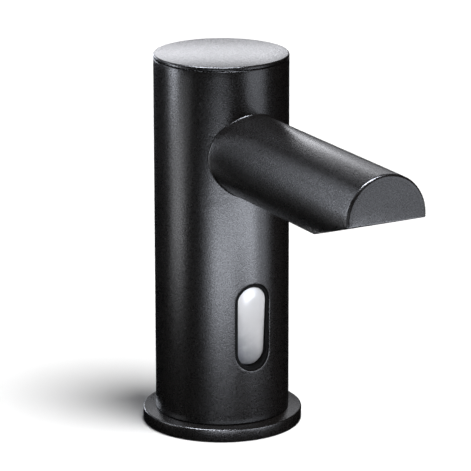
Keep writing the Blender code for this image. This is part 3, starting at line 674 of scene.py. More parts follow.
def spout():
    bm = bmesh.new()
    plane = FRONT.to_3x3().inverted() @ UNDER_N
    f_end, f_rim, f_root = 1.0, 0.32, 0.45
    n = SIDE_LINES
    s_cut = SPOUT_REACH - (SPOUT_R - 1.3) / SLOPE
    s_open = SPOUT_REACH - (SPOUT_IN - 1.3) / SLOPE

    stations = []  # (r, s or function of phi, trim, skin)

    def saddle(r, lift, share=0.0, flat=0.0):
        def s_of(phi):
            x = r * math.sin(phi)
            return (math.sqrt(25.385**2 - x * x) + lift) * (1 - share) + flat * share

        return s_of

    for d in (0.0, 0.03, 0.08, 0.15, 0.24, 0.34, 0.45):
        g = f_root - math.sqrt(max(f_root**2 - (f_root - d) ** 2, 0.0))
        stations.append((SPOUT_R + g, saddle(SPOUT_R + g, d), 0.0, "outer"))
    for share in (0.15, 0.35, 0.6, 0.85, 1.0):
        stations.append((SPOUT_R, saddle(SPOUT_R, 0.45, share, 34.0), 0.0, "outer"))
    for s in np.linspace(34.0, s_cut, 16)[1:]:
        stations.append((SPOUT_R, float(s), 0.0, "outer"))
    cut_list = [float(s) for s in np.linspace(s_cut, s_open, 9)[1:]]
    cut_list += [float(s) for s in np.linspace(s_open, SPOUT_REACH - f_end, 34)[1:]]
    for s in cut_list:
        t = min(1.0, (s - s_cut) / 6.0)
        stations.append((SPOUT_R, s, f_rim * t * t * (3 - 2 * t), "outer"))
    for k in range(1, 9):
        a = math.pi / 2 * k / 8
        stations.append((SPOUT_R - f_end + f_end * math.cos(a), SPOUT_REACH - f_end + f_end * math.sin(a), f_rim, "end"))
    stations.append((SPOUT_IN + 0.02, SPOUT_REACH, f_rim, "end"))
    for s in [SPOUT_REACH - 0.6] + cut_list[::-1]:
        stations.append((SPOUT_IN, s, 0.0, "inner"))
    stations.append((SPOUT_IN, s_cut, 0.0, "inner"))
    for s in np.linspace(34.0, s_cut, 8)[-2::-1]:
        stations.append((SPOUT_IN, float(s), 0.0, "inner"))
    stations.append((SPOUT_IN, saddle(SPOUT_IN, 0.0), 0.0, "inner"))

    def spot(r, s, phi):
        return Vector((r * math.sin(phi), r * math.cos(phi), s(phi) if callable(s) else s))

    def limit(r, s):
        if callable(s) or under(s) <= -r:
            return math.pi
        return math.acos(under(s) / r)

    edges = [spot(r, s, limit(r, s)) for r, s, _, _ in stations]
    rows, feet = [], []
    for i, (r, s, trim, _) in enumerate(stations):
        top = limit(r, s)
        e = edges[i]
        if trim > 0 and top < math.pi:
            along = (edges[min(i + 1, len(edges) - 1)] - edges[i - 1]).normalized()
            inwards = along.cross(plane).normalized()
            first = top - trim / r
            p0 = spot(r, s, first)
            u, w = (p0 - e).normalized(), inwards
            weight = math.sin(math.acos(max(-1.0, min(1.0, u.dot(w)))) / 2)
            p2 = e + w * trim
            arc = []
            for k in range(1, 6):
                t = k / 5
                c0, c1, c2 = (1 - t) ** 2, 2 * t * (1 - t) * weight, t * t
                arc.append((p0 * c0 + e * c1 + p2 * c2) / (c0 + c1 + c2))
        else:
            first, arc = top, [e] * 5
        right = [spot(r, s, first * k / n) for k in range(1, n + 1)] + arc
        left = [Vector((-p.x, p.y, p.z)) for p in reversed(right)]
        rows.append([bm.verts.new(p) for p in left + [spot(r, s, 0.0)] + right])
        feet.append((rows[-1][0], rows[-1][-1]))

    def quad(*vs):
        seen = []
        for v in vs:
            if all((v.co - o.co).length > 1e-6 for o in seen):
                seen.append(v)
        if len(seen) > 2:
            try:
                bm.faces.new(seen)
            except ValueError:
                pass

    for a, b in zip(rows, rows[1:]):
        for k in range(len(a) - 1):
            quad(a[k], a[k + 1], b[k + 1], b[k])
    for k in range(len(rows[0]) - 1):
        quad(rows[-1][k], rows[-1][k + 1], rows[0][k + 1], rows[0][k])
    # the flat rim on the slanted cut, between the outer and the inner edge
    outer_at = {round(s, 4): i for i, (r, s, t, k) in enumerate(stations) if k == "outer" and not callable(s)}
    inner_at = {round(s, 4): i for i, (r, s, t, k) in enumerate(stations) if k == "inner" and not callable(s)}
    opened = [s for s in cut_list if s >= s_open - 1e-6]
    closed = [s_cut] + [s for s in cut_list if s <= s_open + 1e-6]
    apex = bm.verts.new((0, -SPOUT_IN, s_open))
    for a, b in zip(closed, closed[1:]):
        (la, ra), (lb, rb) = feet[outer_at[round(a, 4)]], feet[outer_at[round(b, 4)]]
        if b is closed[-1]:
            quad(la, ra, rb, apex, lb)
        else:
            quad(la, ra, rb, lb)
    for a, b in zip(opened, opened[1:]):
        (la, ra), (lb, rb) = feet[outer_at[round(a, 4)]], feet[outer_at[round(b, 4)]]
        (ia, ja), (ib, jb) = feet[inner_at[round(a, 4)]], feet[inner_at[round(b, 4)]]
        quad(la, ia, ib, lb)
        quad(ja, ra, rb, jb)
    first = outer_at[round(opened[-1], 4)]
    last = inner_at[round(opened[-1], 4)]
    for side in (0, 1):
        corner = [feet[i][side] for i in range(first, last + 1)]
        quad(*corner)
    return settle("spout_tube_fine", bm, 30, FRONT)


def arc_outline(r, v, n=72):
    """The part of a circle above the height v, in (x, v)."""
    top = math.acos(v / r)
    return [(r * math.sin(a), r * math.cos(a)) for a in np.linspace(top, -top, n)]


def end_plate():
    bm = bmesh.new()
    r, s1, s0 = SPOUT_IN - 0.03, SPOUT_REACH, 119.9
    front = [bm.verts.new((x, v, s1)) for x, v in arc_outline(r, under(s1))]
    back = [bm.verts.new((x, v, s0)) for x, v in arc_outline(r, under(s0))]
    bm.faces.new(front)
    bm.faces.new(back)
    for k in range(len(front)):
        m = (k + 1) % len(front)
        bm.faces.new((front[k], front[m], back[m], back[k]))
    bmesh.ops.recalc_face_normals(bm, faces=bm.faces)
    chord = [e for e in bm.edges if set(e.verts) == {front[0], front[-1]}]
    bmesh.ops.bevel(bm, geom=chord, offset=0.32, segments=5, profile=0.5, affect="EDGES")
    return settle("spout_end_plate_fine", bm, 30, at(0, 0, SPOUT_Z) @ FRONT)


def spout_mesh():
    mesh = spout()
    mesh.transform(Matrix.Translation((0, 0, SPOUT_Z * MM)))
    return mesh


NOZZLE = facing((0, -NOZZLE_S, under(NOZZLE_S) + SPOUT_Z), UNDER_N)


def nozzle_plate():
    # the bore of the spout meets the slanted plane in an ellipse; the end plate cuts it off
    r = SPOUT_IN - 0.25
    fall = math.hypot(1, SLOPE)
    outline = []
    for a in np.linspace(0, math.tau, 96, endpoint=False):
        x, v = r * math.sin(a), -r * math.cos(a)
        s = min((v + 0.25 - (TIP_Z - SPOUT_Z)) / SLOPE + SPOUT_REACH, 119.7)
        if s >= 119.7:
            continue
        outline.append((x, s))
    v_end = under(119.7) - 0.25
    x_end = math.sqrt(max(r * r - v_end * v_end, 0))
    right = sorted([p for p in outline if p[0] >= 0], key=lambda p: p[1])
    left = sorted([p for p in outline if p[0] < 0], key=lambda p: -p[1])
    points = right + [(x_end, 119.7), (-x_end, 119.7)] + left
    local = [(x, -(s - NOZZLE_S) * fall) for x, s in points]
    # the nozzle frame's X is the world's X, and its Y runs back towards the column
    plate = prism("nozzle_plate_fine", local, 0.15, 2.0, NOZZLE, 0.18, 3)
    boss = lathe("boss", [(0, 5.0, 0.3), (9.5, 5.0, 0.3), (9.5, 1.2, 0), (0, 1.2, 0)], NOZZLE, 96)
    way = rod("way", 7.0, -3, 8, NOZZLE, 96, 0)
    return carve(plate, (boss, ADD), (way, CUT))


piece("body_column", column(), COAT)
piece("spout_tube", spout_mesh(), COAT)
piece("spout_end_plate", end_plate(), COAT)
piece("nozzle_plate", nozzle_plate(), COAT)
piece(
    "top_cap",
    lathe(
        "top_cap_fine",
        [
            (0, CAP_Z1), (BODY_R, CAP_Z1, 0.75), (BODY_R, CAP_Z0, 0.12), (22.6, CAP_Z0, 0), (22.6, 138.2), (20.8, 138.2, 0.3), (20.8, 135.8, 0.3),
            (22.6, 135.8), (22.6, 134.0, 0.4), (19.0, 134.0), (19.0, 139.6, 0.6), (0, 139.6),
        ],
        None, 180, 0.12,
    ),
    COAT,
)


def flange():
    body = lathe(
        "base_flange_fine",
        [
            (22.7, FLANGE_H, 0.15), (FLANGE_R, FLANGE_H, 0.6), (FLANGE_R, 0, 0.2), (27.5, 0), (27.5, 2.0), (15.6, 2.0), (15.6, 0), (13.9, 0),
            (13.9, 4.8), (18.0, 4.8), (18.0, 18.0), (22.7, 18.0, 0.4),
        ],
        None, 180, 0.12,
    )
    ways = [(rod("way", 2.3, 14, 30, facing((0, 0, 11), (0, 1, 0)), 40, 0), CUT)]
    ways += [(rod("way", 1.15, 10, 22, at(x, y), 32, 0), CUT) for x, y in SCREW_WAYS]
    return carve(body, *ways)


SCREW_WAYS = ((14.4, -14.4), (-14.4, 14.4))
piece("base_flange", flange(), COAT)


def torus(name, major, minor, z, matrix=None, around=96, section=16):
    profile = [(major + minor * math.sin(a), z + minor * math.cos(a)) for a in (math.tau * i / section for i in range(section))]
    return settle(name, turned(profile, around, True), 60, matrix)


piece("top_cap_oring", torus("top_cap_oring_fine", 21.9, 0.88, 137.0), RUBBER)
piece("base_gasket", ring("base_gasket_fine", 16.0, 27.2, 0, 1.7, None, 128, 0.35), RUBBER)


# ------------------------------------------------------------------ sensor
def grommet():
    """The moulded gasket: a pad inside the wall and a sleeve through the window opening."""
    pad = prism("window_gasket_fine", stadium(20, 40, 0, WINDOW_Z), 15, 30, FRONT)
    pad_keep = turned([(21.2, 70), (22.7, 70), (22.7, 10), (21.2, 10)], 180)
    sleeve = prism("sleeve", stadium(WINDOW_W - 0.3, WINDOW_H - 0.3, 0, WINDOW_Z, 32), 15, 30, FRONT)
    sleeve_keep = turned([(21.5, 70), (24.9, 70), (24.9, 10), (21.5, 10)], 180)
    pad = carve(pad, (settle("keep", pad_keep), KEEP))
    sleeve = carve(sleeve, (settle("keep", sleeve_keep), KEEP))
    way = prism("way", stadium(WINDOW_W - 2.3, WINDOW_H - 2.3, 0, WINDOW_Z, 32), 10, 34, FRONT)
    return carve(pad, (sleeve, ADD), (way, CUT))


def lens():
    """A flat slab with a polished bevel, leaning back towards its lower end."""
    top, bottom, half = 24.15, 21.75, 15.6
    w, h, t, f = 11.85, 31.35, 0.9, 0.45
    bm = bmesh.new()
    rows = []
    for inset, depth in [(f * (1 - math.sin(a)), -f * (1 - math.cos(a))) for a in (math.pi / 2 * k / 4 for k in range(5))] + [(0.0, -t + 0.1), (0.1, -t)]:
        rows.append([bm.verts.new((x, y, depth)) for x, y in stadium(w - 2 * inset, h - 2 * inset, 0, 0, 32)])
    bm.faces.new(rows[0])
    bm.faces.new(rows[-1])
    for a, b in zip(rows, rows[1:]):
        for k in range(len(a)):
            m = (k + 1) % len(a)
            bm.faces.new((a[k], a[m], b[m], b[k]))
    lean = math.atan2(top - bottom, 2 * half)
    matrix = FRONT @ at(0, WINDOW_Z, (top + bottom) / 2) @ Matrix.Rotation(lean, 4, "X")
    return settle("sensor_window_fine", bm, 40, matrix)


piece("window_gasket", grommet(), GASKET_IN_SHADE)
piece("sensor_window", lens(), LENS)


# ------------------------------------------------------------------ nozzle and valve
piece(
    "nozzle_body",
    lathe(
        "nozzle_body_fine",
        [
            (3.6, 8.5), (6.4, 8.5), (6.7, 8.2), (6.7, 4.2), (5.55, 4.2, 0.3), (5.55, 2.8, 0.3), (6.7, 2.8), (6.7, 0.2, 0.5), (5.4, 0.2, 0.15), (5.0, 0.7, 0.2),
            (3.4, 0.7, 0.2), (3.0, 0.2, 0.15), (2.0, 0.2, 0.25), (2.0, 2.0, 0.1), (3.6, 2.0),
        ],
        NOZZLE, 96,
    ),
    BLACK,
)
piece("nozzle_oring", torus("nozzle_oring_fine", 6.15, 0.55, 3.5, NOZZLE), RUBBER)


def ball():
    bm = bmesh.new()
    bmesh.ops.create_icosphere(bm, subdivisions=4, radius=2.5)
    return settle("valve_ball_fine", bm, 60, NOZZLE @ at(0, 0, 6.55))


def spring():
    turns, per = 3, 36
    coil = []
    for i in range(turns * per + 1):
        a = math.tau * i / per
        t = i / (turns * per)
        lift = t + 0.06 * math.sin(math.tau * t)  # closed end coils
        coil.append((2.3 * math.cos(a), 2.3 * math.sin(a), 2.42 + 2.36 * lift))
    return sweep("valve_spring_fine", coil, 0.22, 12, None, NOZZLE)


piece("valve_ball", ball(), STEEL)
# it shortens as the ball opens, from 2.8 mm to 1.3 mm
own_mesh(piece("valve_spring", spring(), STEEL))

BARB_Y = -(NOZZLE_S - 12.4 * UNDER_N.y)
BARB_Z = under(NOZZLE_S) + SPOUT_Z + 12.4 * UNDER_N.z
BARB = facing((0, BARB_Y, BARB_Z), (0, 1, 0))
piece(
    "hose_elbow",
    carve(
        lathe("hose_elbow_fine", [(0, 15.0), (3.8, 15.0, 0.5), (4.3, 14.2), (4.3, 10.4, 0.3), (6.4, 10.4, 0.25), (6.4, 8.7), (0, 8.7)], NOZZLE, 80),
        (lathe("barb", [(0, 13.0), (0.9, 13.0), (1.2, 12.2), (1.2, 10.4), (1.0, 10.2), (1.2, 9.4), (1.2, 8.4), (2.4, 8.4, 0.2), (2.4, 0, 0), (0, 0)], BARB, 48), ADD),
        (rod("up", 1.5, 6, 13.2, NOZZLE, 40, 0), CUT),
        (rod("out", 0.7, 0.4, 15, BARB, 32, 0), CUT),
    ),
    WHITE,
)


# ------------------------------------------------------------------ screws
def screw(node, matrix, head_r, head_h, shank_r, length, socket_r, socket_d):
    """A cap screw with a hexagon socket and a rolled thread."""
    pitch = shank_r * 0.45
    profile = [(0, head_h), (head_r, head_h, head_r * 0.22), (head_r, 0, 0.08), (shank_r, 0, 0.1), (shank_r, -0.8, 0)]
    z = -0.8
    while z - pitch > -length + 0.5:
        profile += [(shank_r - 0.14, z - pitch * 0.5, 0), (shank_r, z - pitch, 0)]
        z -= pitch
    profile += [(shank_r * 0.6, -length, 0.1), (0, -length)]
    body = lathe(node + "_fine", profile, matrix, 48, 0.06, 40)
    socket = turned([(0, head_h + 2), (socket_r, head_h + 2), (socket_r, head_h - socket_d), (0, head_h - socket_d - socket_r * 0.3)], 6)
    return piece(node, carve(body, (settle("socket", socket, 20, matrix), CUT)), STEEL)


BACK = Matrix(((1, 0, 0, 0), (0, 0, 1, 0), (0, -1, 0, 0), (0, 0, 0, 1)))
SET_WAY = facing((0, 0, 11), (0, 1, 0))
piece(
    "body_set_screw",
    carve(
        lathe("body_set_screw_fine", [(0, 24.9), (1.95, 24.9, 0.2), (1.95, 18.6, 0.5), (0, 18.6)], SET_WAY, 48),
        (settle("socket", turned([(0, 28), (1.15, 28), (1.15, 22.4), (0, 22.0)], 6), 20, SET_WAY), CUT),
    ),
    STEEL,
)

# ------------------------------------------------------------------ sensor block
EYES = (("ir_emitter", 50.0, CHIP, "component_black"), ("status_led", 42.0, CLEAR, "clear_plastic"), ("ir_receiver", 34.0, CHIP, "component_black"))
BOARD_SCREWS = ((-6.2, 28.2), (6.2, 55.8))
housing = block("sensor_housing_fine", -9, 9, -24, -9.1, 24.5, 58.5, None, 0.4, 3)
steps = [(rod("keep", 20.45, 20, 62, None, 180, 0), KEEP)]
steps += [(rod("way", 2.7, 5, 30, at(0, 0, z) @ FRONT, 64, 0), CUT) for _, z, _, _ in EYES]
steps += [(rod("way", 1.3, -10, 14.6, at(x, 0, z) @ FRONT, 32, 0), CUT) for x, z in BOARD_SCREWS]
piece("sensor_housing", carve(housing, *steps), BLACK)
board = prism("sensor_board_fine", [(-8, 26), (8, 26), (8, 58), (-8, 58)], 7.3, 8.9, FRONT, 0.08, 2)
piece("sensor_board", carve(board, *[(rod("way", 1.3, -10, 14.6, at(x, 0, z) @ FRONT, 32, 0), CUT) for x, z in BOARD_SCREWS]), BOARD)
for node, z, look, slot in EYES:
    profile = [(0, 18.6), (1.0, 18.35, 0.6), (1.8, 17.6, 0.6), (2.2, 16.6, 0.5), (2.35, 15.6, 0.1), (2.35, 10.2, 0.05), (2.6, 10.2, 0.05), (2.6, 9.3, 0.1), (0, 9.3)]
    piece(node, lathe(node + "_fine", profile, at(0, 0, z) @ FRONT, 64), look)
for i, (x, z) in enumerate(BOARD_SCREWS, 1):
    screw(f"sensor_board_screw_{i}", at(x, -2.9, z) @ BACK, 2.1, 1.4, 1.05, 11.0, 0.8, 0.8)
piece(
    "sensor_lead",
    sweep("sensor_lead_fine", smooth_path([(-5.2, -8.1, 58.8), (-6.4, -8.5, 60.6), (-10, -9.2, 63.5), (-15, -8, 71), (-18.3, -5.6, 84), (-18.3, -5.5, 100), (-18.3, -5.5, 119.0)]), 0.9, 16),
    BLACK,
)


# ------------------------------------------------------------------ chassis, motor and pump
def chassis():
    steps = []
    for side in (-1, 1):
        x0, x1 = sorted((side * 18.0, side * 20.0))
        steps.append((block("rail", x0, x1, -1, 7, 19, 95.5, None, 0.3), ADD))
    steps += [
        (block("back", -7.6, 7.6, -4.6, -3.2, 19, 59, None, 0.3), ADD),
        (rod("top", PUMP_R, 94.3, 96.8, at(PUMP_X, PUMP_Y), 128, 0.3), ADD),
        (block("arms", -19.6, 19.6, -0.6, 6.6, 94.6, 96.5, None, 0.3), ADD),
    ]
    for side in (-1, 1):
        # gussets under the top plate
        steps.append((prism("gusset", [(side * 18.6, 84.0), (side * 18.6, 94.8), (side * 12.6, 94.8)][::side], -3.6, -2.4, FRONT, 0.15), ADD))
    ways = [(3.0, 15, 25, at(7.5, 3)), (2.2, 15, 25, at(-7.5, 3)), (4.2, 90, 100, at(PUMP_X, PUMP_Y)), (3.4, 90, 108, at(14.8, -11.8))]
    ways += [(1.3, 0, 6, at(x, 0, z) @ FRONT) for x, z in BOARD_SCREWS]
    ways += [(1.3, 15, 25, at(x, y)) for x, y in SCREW_WAYS]
    steps += [(rod("way", r, a, b, m, 48, 0), CUT) for r, a, b, m in ways]
    return carve(rod("chassis_fine", 22.4, 18.3, 20.3, None, 144, 0.3), *steps)


piece("chassis", chassis(), WHITE)
for i, (x, y) in enumerate(SCREW_WAYS, 1):
    screw(f"chassis_screw_{i}", at(x, y, 20.45), 2.0, 1.5, 1.0, 9.0, 0.8, 0.8)

PUMP = at(PUMP_X, PUMP_Y)
piece(
    "gear_motor",
    lathe("gear_motor_fine", [(0, 84.0), (11.5, 84.0, 0.4), (11.5, 80.6, 0.1), (11.3, 80.4, 0.1), (11.3, 79.8, 0.1), (11.5, 79.6, 0.1), (11.5, 62.0, 1.2), (4.0, 62.0, 0.2), (4.0, 60.6, 0.4), (0, 60.6)], PUMP, 128),
    STEEL,
)
piece(
    "gearbox_case",
    lathe("gearbox_case_fine", [(1.8, 94.0), (12.0, 94.0, 0.7), (12.0, 90.2, 0.1), (11.7, 90.0, 0.1), (11.7, 89.2, 0.1), (12.0, 89.0, 0.1), (12.0, 84.3, 0.3), (0, 84.3), (0, 86.5), (1.8, 86.5)], PUMP, 128),
    BLACK,
)
piece("drive_shaft", rod("drive_shaft_fine", 1.5, 87.0, 109.4, PUMP, 48, 0.25), STEEL)
RISER = at(14.8, -11.8)
pump_steps = []
for side in (-1, 1):
    x0, x1 = sorted((side * 6.0, side * 16.9))
    pump_steps.append((block("leg", x0, x1, -30, 3.25, 99.6, 115, None, 0.25), CUT))
pump_steps.append((rod("way", 3.4, 90, 108, RISER, 48, 0), CUT))


def spoke(radius, degrees):
    a = math.radians(degrees)
    return PUMP_X + radius * math.cos(a), PUMP_Y + radius * math.sin(a)


for d in (48, 132):
    pump_steps.append((rod("way", 1.15, 102, 111, at(*spoke(16.75, d)), 32, 0), CUT))
piece(
    "pump_housing",
    carve(lathe("pump_housing_fine", [(15.0, 110.0), (PUMP_R, 110.0, 0.3), (PUMP_R, 97.1, 0.3), (3.0, 97.1), (3.0, 99.5), (15.0, 99.5, 0.3)], PUMP, 144), *pump_steps),
    WHITE,
)
POSTS = [spoke(15.5, d) for d in (90, 210, 330)]
cover_steps = [(rod("post", 2.3, 111.5, 119.0, at(x, y), 48, 0.2), ADD) for x, y in POSTS]
cover_steps += [(rod("way", 1.15, 114, 121, at(x, y), 32, 0), CUT) for x, y in POSTS[:2]]
cover_steps += [(rod("way", 1.15, 108, 114, at(*spoke(16.75, d)), 32, 0), CUT) for d in (48, 132)]
piece("pump_cover", carve(rod("pump_cover_fine", PUMP_R, 110.3, 112.3, PUMP, 144, 0.3), *cover_steps), WHITE)
for i, d in enumerate((48, 132), 1):
    x, y = spoke(16.75, d)
    screw(f"pump_screw_{i}", at(x, y, 112.45), 1.9, 1.4, 0.95, 9.4, 0.8, 0.8)
rotor_ways = []
for i in range(3):
    rotor_ways.append((rod("way", 1.25, 98, 112, at(*spoke(9.6, 90 + 120 * i)), 40, 0), CUT))
    rotor_ways.append((rod("way", 2.2, 98, 112, at(*spoke(8.2, 30 + 120 * i)), 40, 0), CUT))
piece(
    "pump_rotor",
    carve(lathe("pump_rotor_fine", [(1.8, 110.0), (12.6, 110.0, 0.35), (12.6, 108.9, 0.2), (3.6, 108.9, 0.3), (3.6, 101.1, 0.3), (12.6, 101.1, 0.2), (12.6, 99.9, 0.35), (1.8, 99.9)], PUMP, 120), *rotor_ways),
    BLUE,
)
for i in range(3):
    x, y = spoke(9.6, 90 + 120 * i)
    piece(f"roller_{i + 1}", ring(f"roller_{i + 1}_fine", 1.3, 3.5, 101.4, 108.6, at(x, y), 72, 0.4), CLEAR)
    piece(f"roller_pin_{i + 1}", rod(f"roller_pin_{i + 1}_fine", 1.0, 100.0, 109.9, at(x, y), 40, 0.2), STEEL)


def pump_tube():
    """The pump's hose: round at both ends and pressed flat along the track behind the rollers."""
    keys = ((-8.2, 2.2, 2.2), (-6.5, 2.2, 2.2), (-5.0, 1.7, 2.55), (-2.6, 1.02, 2.9), (0.0, 0.62, 3.1))
    ys, ts, hs = zip(*keys)
    radius = 14.22
    stations = []
    for y in np.linspace(-8.2, 0.0, 18):
        stations.append((Vector((radius, y, 0)), Vector((1, 0, 0)), float(np.interp(y, ys, ts)), float(np.interp(y, ys, hs))))
    for i in range(1, 48):
        a = math.pi * i / 48
        d = Vector((math.cos(a), math.sin(a), 0))
        stations.append((d * radius, d, 0.62, 3.1))
    for c, d, t, h in reversed(stations[:18]):
        stations.append((Vector((-c.x, c.y, 0)), -d, t, h))
    n = 24
    bm = bmesh.new()

    def loop(c, d, t, h):
        out = []
        for k in range(n):
            a = math.tau * k / n
            p = c + d * (t * math.cos(a)) + Vector((0, 0, 1)) * (h * math.sin(a))
            out.append(bm.verts.new(Vector((PUMP_X + p.x, PUMP_Y + p.y, 105.0 + p.z))))
        return out

    outer = [loop(c, d, t, h) for c, d, t, h in stations]
    inner = [loop(c, d, max(t - 0.75, 0.12), h - 0.75) for c, d, t, h in stations]
    for rows in (outer, inner):
        for a, b in zip(rows, rows[1:]):
            for k in range(n):
                bm.faces.new((a[k], a[(k + 1) % n], b[(k + 1) % n], b[k]))
    for a, b in ((outer[0], inner[0]), (outer[-1], inner[-1])):
        for k in range(n):
            bm.faces.new((a[k], a[(k + 1) % n], b[(k + 1) % n], b[k]))
    return settle("pump_tube_fine", bm, 50)


piece("pump_tube", pump_tube(), HOSE)
LEG_Y, INLET_Y, TUBE_X = PUMP_Y - 8.2, -11.2, 14.22
piece(
    "inlet_elbow",
    sweep(
        "inlet_elbow_fine",
        [(TUBE_X, LEG_Y + 1.6, 105.0)]
        + [(TUBE_X, INLET_Y + 4 - 4 * math.sin(a), 101.0 + 4 * math.cos(a)) for a in (math.pi / 2 * i / 14 for i in range(15))]
        + [(TUBE_X, INLET_Y, 97.0), (TUBE_X, INLET_Y, 93.5)],
        1.25, 28, 0.5,
    ),
    WHITE,
)
piece(
    "hose_coupler",
    lathe("hose_coupler_fine", [(0.75, 2.3), (1.05, 2.3), (1.25, 1.6), (1.15, 0.4), (2.2, 0.4, 0.15), (2.2, -0.4, 0.15), (1.15, -0.4), (1.25, -2.4), (1.05, -3.2), (0.75, -3.2)], facing((-TUBE_X, LEG_Y - 0.7, 105.0), (0, 1, 0)), 48, 0.05),
    WHITE,
)
piece(
    "inlet_hose",
    sweep(
        "inlet_hose_fine",
        smooth_path([(TUBE_X, INLET_Y, 96.5), (TUBE_X, INLET_Y, 86), (14.4, -10.6, 70), (14.6, -5, 52), (13, 1.5, 36), (7.9, 3.0, 25), (7.5, 3.0, 19.3), (7.2, 2.9, 12), (5.6, 1.6, -6), (4.0, 0, -26), (3.5, 0, -38), (3.5, 0, -48.5)], 7),
        1.95, 24, 0.45,
    ),
    HOSE,
)
piece(
    "outlet_hose",
    sweep(
        "outlet_hose_fine",
        smooth_path([(-TUBE_X, LEG_Y - 1.4, 105.0), (-TUBE_X, LEG_Y - 4.4, 105.0), (-13.2, -13.0, 105.0), (-10.2, -17.4, 105.4), (-6.6, -21, 106), (-2.6, -32, 107.4), (0, -48, 109.4), (0, -72, 112.4), (0, BARB_Y + 12.6, BARB_Z), (0, BARB_Y + 8.7, BARB_Z)], 7),
        1.9, 24, 0.4,
    ),
    HOSE,
)


# ------------------------------------------------------------------ control board
control = rod("control_board_fine", 21.5, 119.3, 120.9, None, 144, 0.08)
piece("control_board", carve(control, *[(rod("way", 1.3, 117, 123, at(x, y), 32, 0), CUT) for x, y in POSTS[:2]]), BOARD)
for i, (x, y) in enumerate(POSTS[:2], 1):
    screw(f"board_screw_{i}", at(x, y, 121.05), 2.1, 1.4, 0.95, 6.2, 0.8, 0.8)
piece(
    "board_capacitor",
    lathe("board_capacitor_fine", [(0, 130.85), (3.1, 130.85, 0.1), (3.3, 131.0, 0.1), (4.0, 131.0, 0.35), (4.0, 123.4, 0.2), (3.75, 123.0, 0.2), (4.0, 122.6, 0.2), (4.0, 121.2, 0.2), (0, 121.2)], at(8.5, 8.0), 72),
    CHIP,
)


def chip():
    """A flat package with gull-wing legs on two sides and a dimple at pin one."""
    body = block("board_chip_fine", -9.9, -4.1, 0.7, 7.3, 121.35, 122.6, None, 0.12)
    mark = rod("mark", 0.35, 122.5, 123.0, at(-9.2, 6.6), 24, 0)
    body = carve(body, (mark, CUT))
    legs = []
    for side, x in ((-1, -9.9), (1, -4.1)):
        for k in range(6):
            y = 1.45 + k * 1.02
            points = [(x - side * 0.1, y, 121.85), (x + side * 0.28, y, 121.8), (x + side * 0.36, y, 121.4), (x + side * 0.58, y, 121.3)]
            legs.append(sweep("leg", points, 0.1, 8))
    return body, joined("board_chip_legs", *legs)


chip_body, chip_legs = chip()
piece("board_chip", chip_body, CHIP)
piece("board_chip", chip_legs, STEEL, "_legs")


def connector():
    shell = carve(
        block("board_connector_fine", -4.5, 4.5, -16.5, -11.0, 121.2, 127.0, None, 0.25),
        (block("way", -3.7, 3.7, -15.7, -11.8, 123.0, 130.0, None, 0.15), CUT),
        (block("key", -1.2, 1.2, -11.9, -10.5, 124.6, 130.0, None, 0.1), CUT),
    )
    pins = [block("pin", x - 0.32, x + 0.32, -14.1, -13.46, 122.6, 126.0, None, 0.12) for x in (-2.4, -0.8, 0.8, 2.4)]
    return shell, joined("board_connector_pins", *pins)


connector_shell, connector_pins = connector()
piece("board_connector", connector_shell, BLACK)
piece("board_connector", connector_pins, STEEL, "_pins")


def small_parts():
    """Chip resistors and capacitors soldered round the board, each a body with two bright end caps."""
    bodies, ends = [], []
    spots = ((-13.5, -3.0, 20), (-11.0, -6.6, 65), (-6.5, -8.2, 0), (7.5, -8.0, 90), (11.6, -5.2, 30), (14.2, -1.0, 90), (-14.8, 1.6, 90), (1.6, 11.0, 0), (-3.8, 11.4, 15), (1.0, -4.6, 90), (3.4, -4.6, 90), (5.8, -3.0, 0), (-1.6, 2.2, 90), (-1.6, 5.4, 90))
    for x, y, turn in spots:
        m = at(x, y, 121.15) @ Matrix.Rotation(math.radians(turn), 4, "Z")
        bodies.append(block("body", -0.6, 0.6, -0.42, 0.42, -0.05, 0.42, m, 0.05, 1))
        for side in (-1, 1):
            x0, x1 = sorted((side * 0.58, side * 0.92))
            ends.append(block("end", x0, x1, -0.45, 0.45, -0.1, 0.46, m, 0.06, 1))
    return joined("control_board_parts", *bodies), joined("control_board_joints", *ends)


part_bodies, part_ends = small_parts()
piece("control_board", part_bodies, CHIP, "_parts")
piece("control_board", part_ends, STEEL, "_joints")

# ------------------------------------------------------------------ leads and fixings
piece(
    "power_lead",
    sweep(
        "power_lead_fine",
        smooth_path([(-17.5, -9.5, 119.0), (-17.5, -9.5, 92), (-17.5, -9.5, 66), (-15.2, -5, 48), (-12.6, 0.5, 34), (-7.9, 3, 25), (-7.5, 3, 19.3), (-7.2, 2.9, 12), (-6.2, 1.4, -6), (-5.6, 0, -26), (-5.5, 0, -38), (-5.5, 0, -49.0)], 7),
        0.95, 16,
    ),
    BLACK,
)


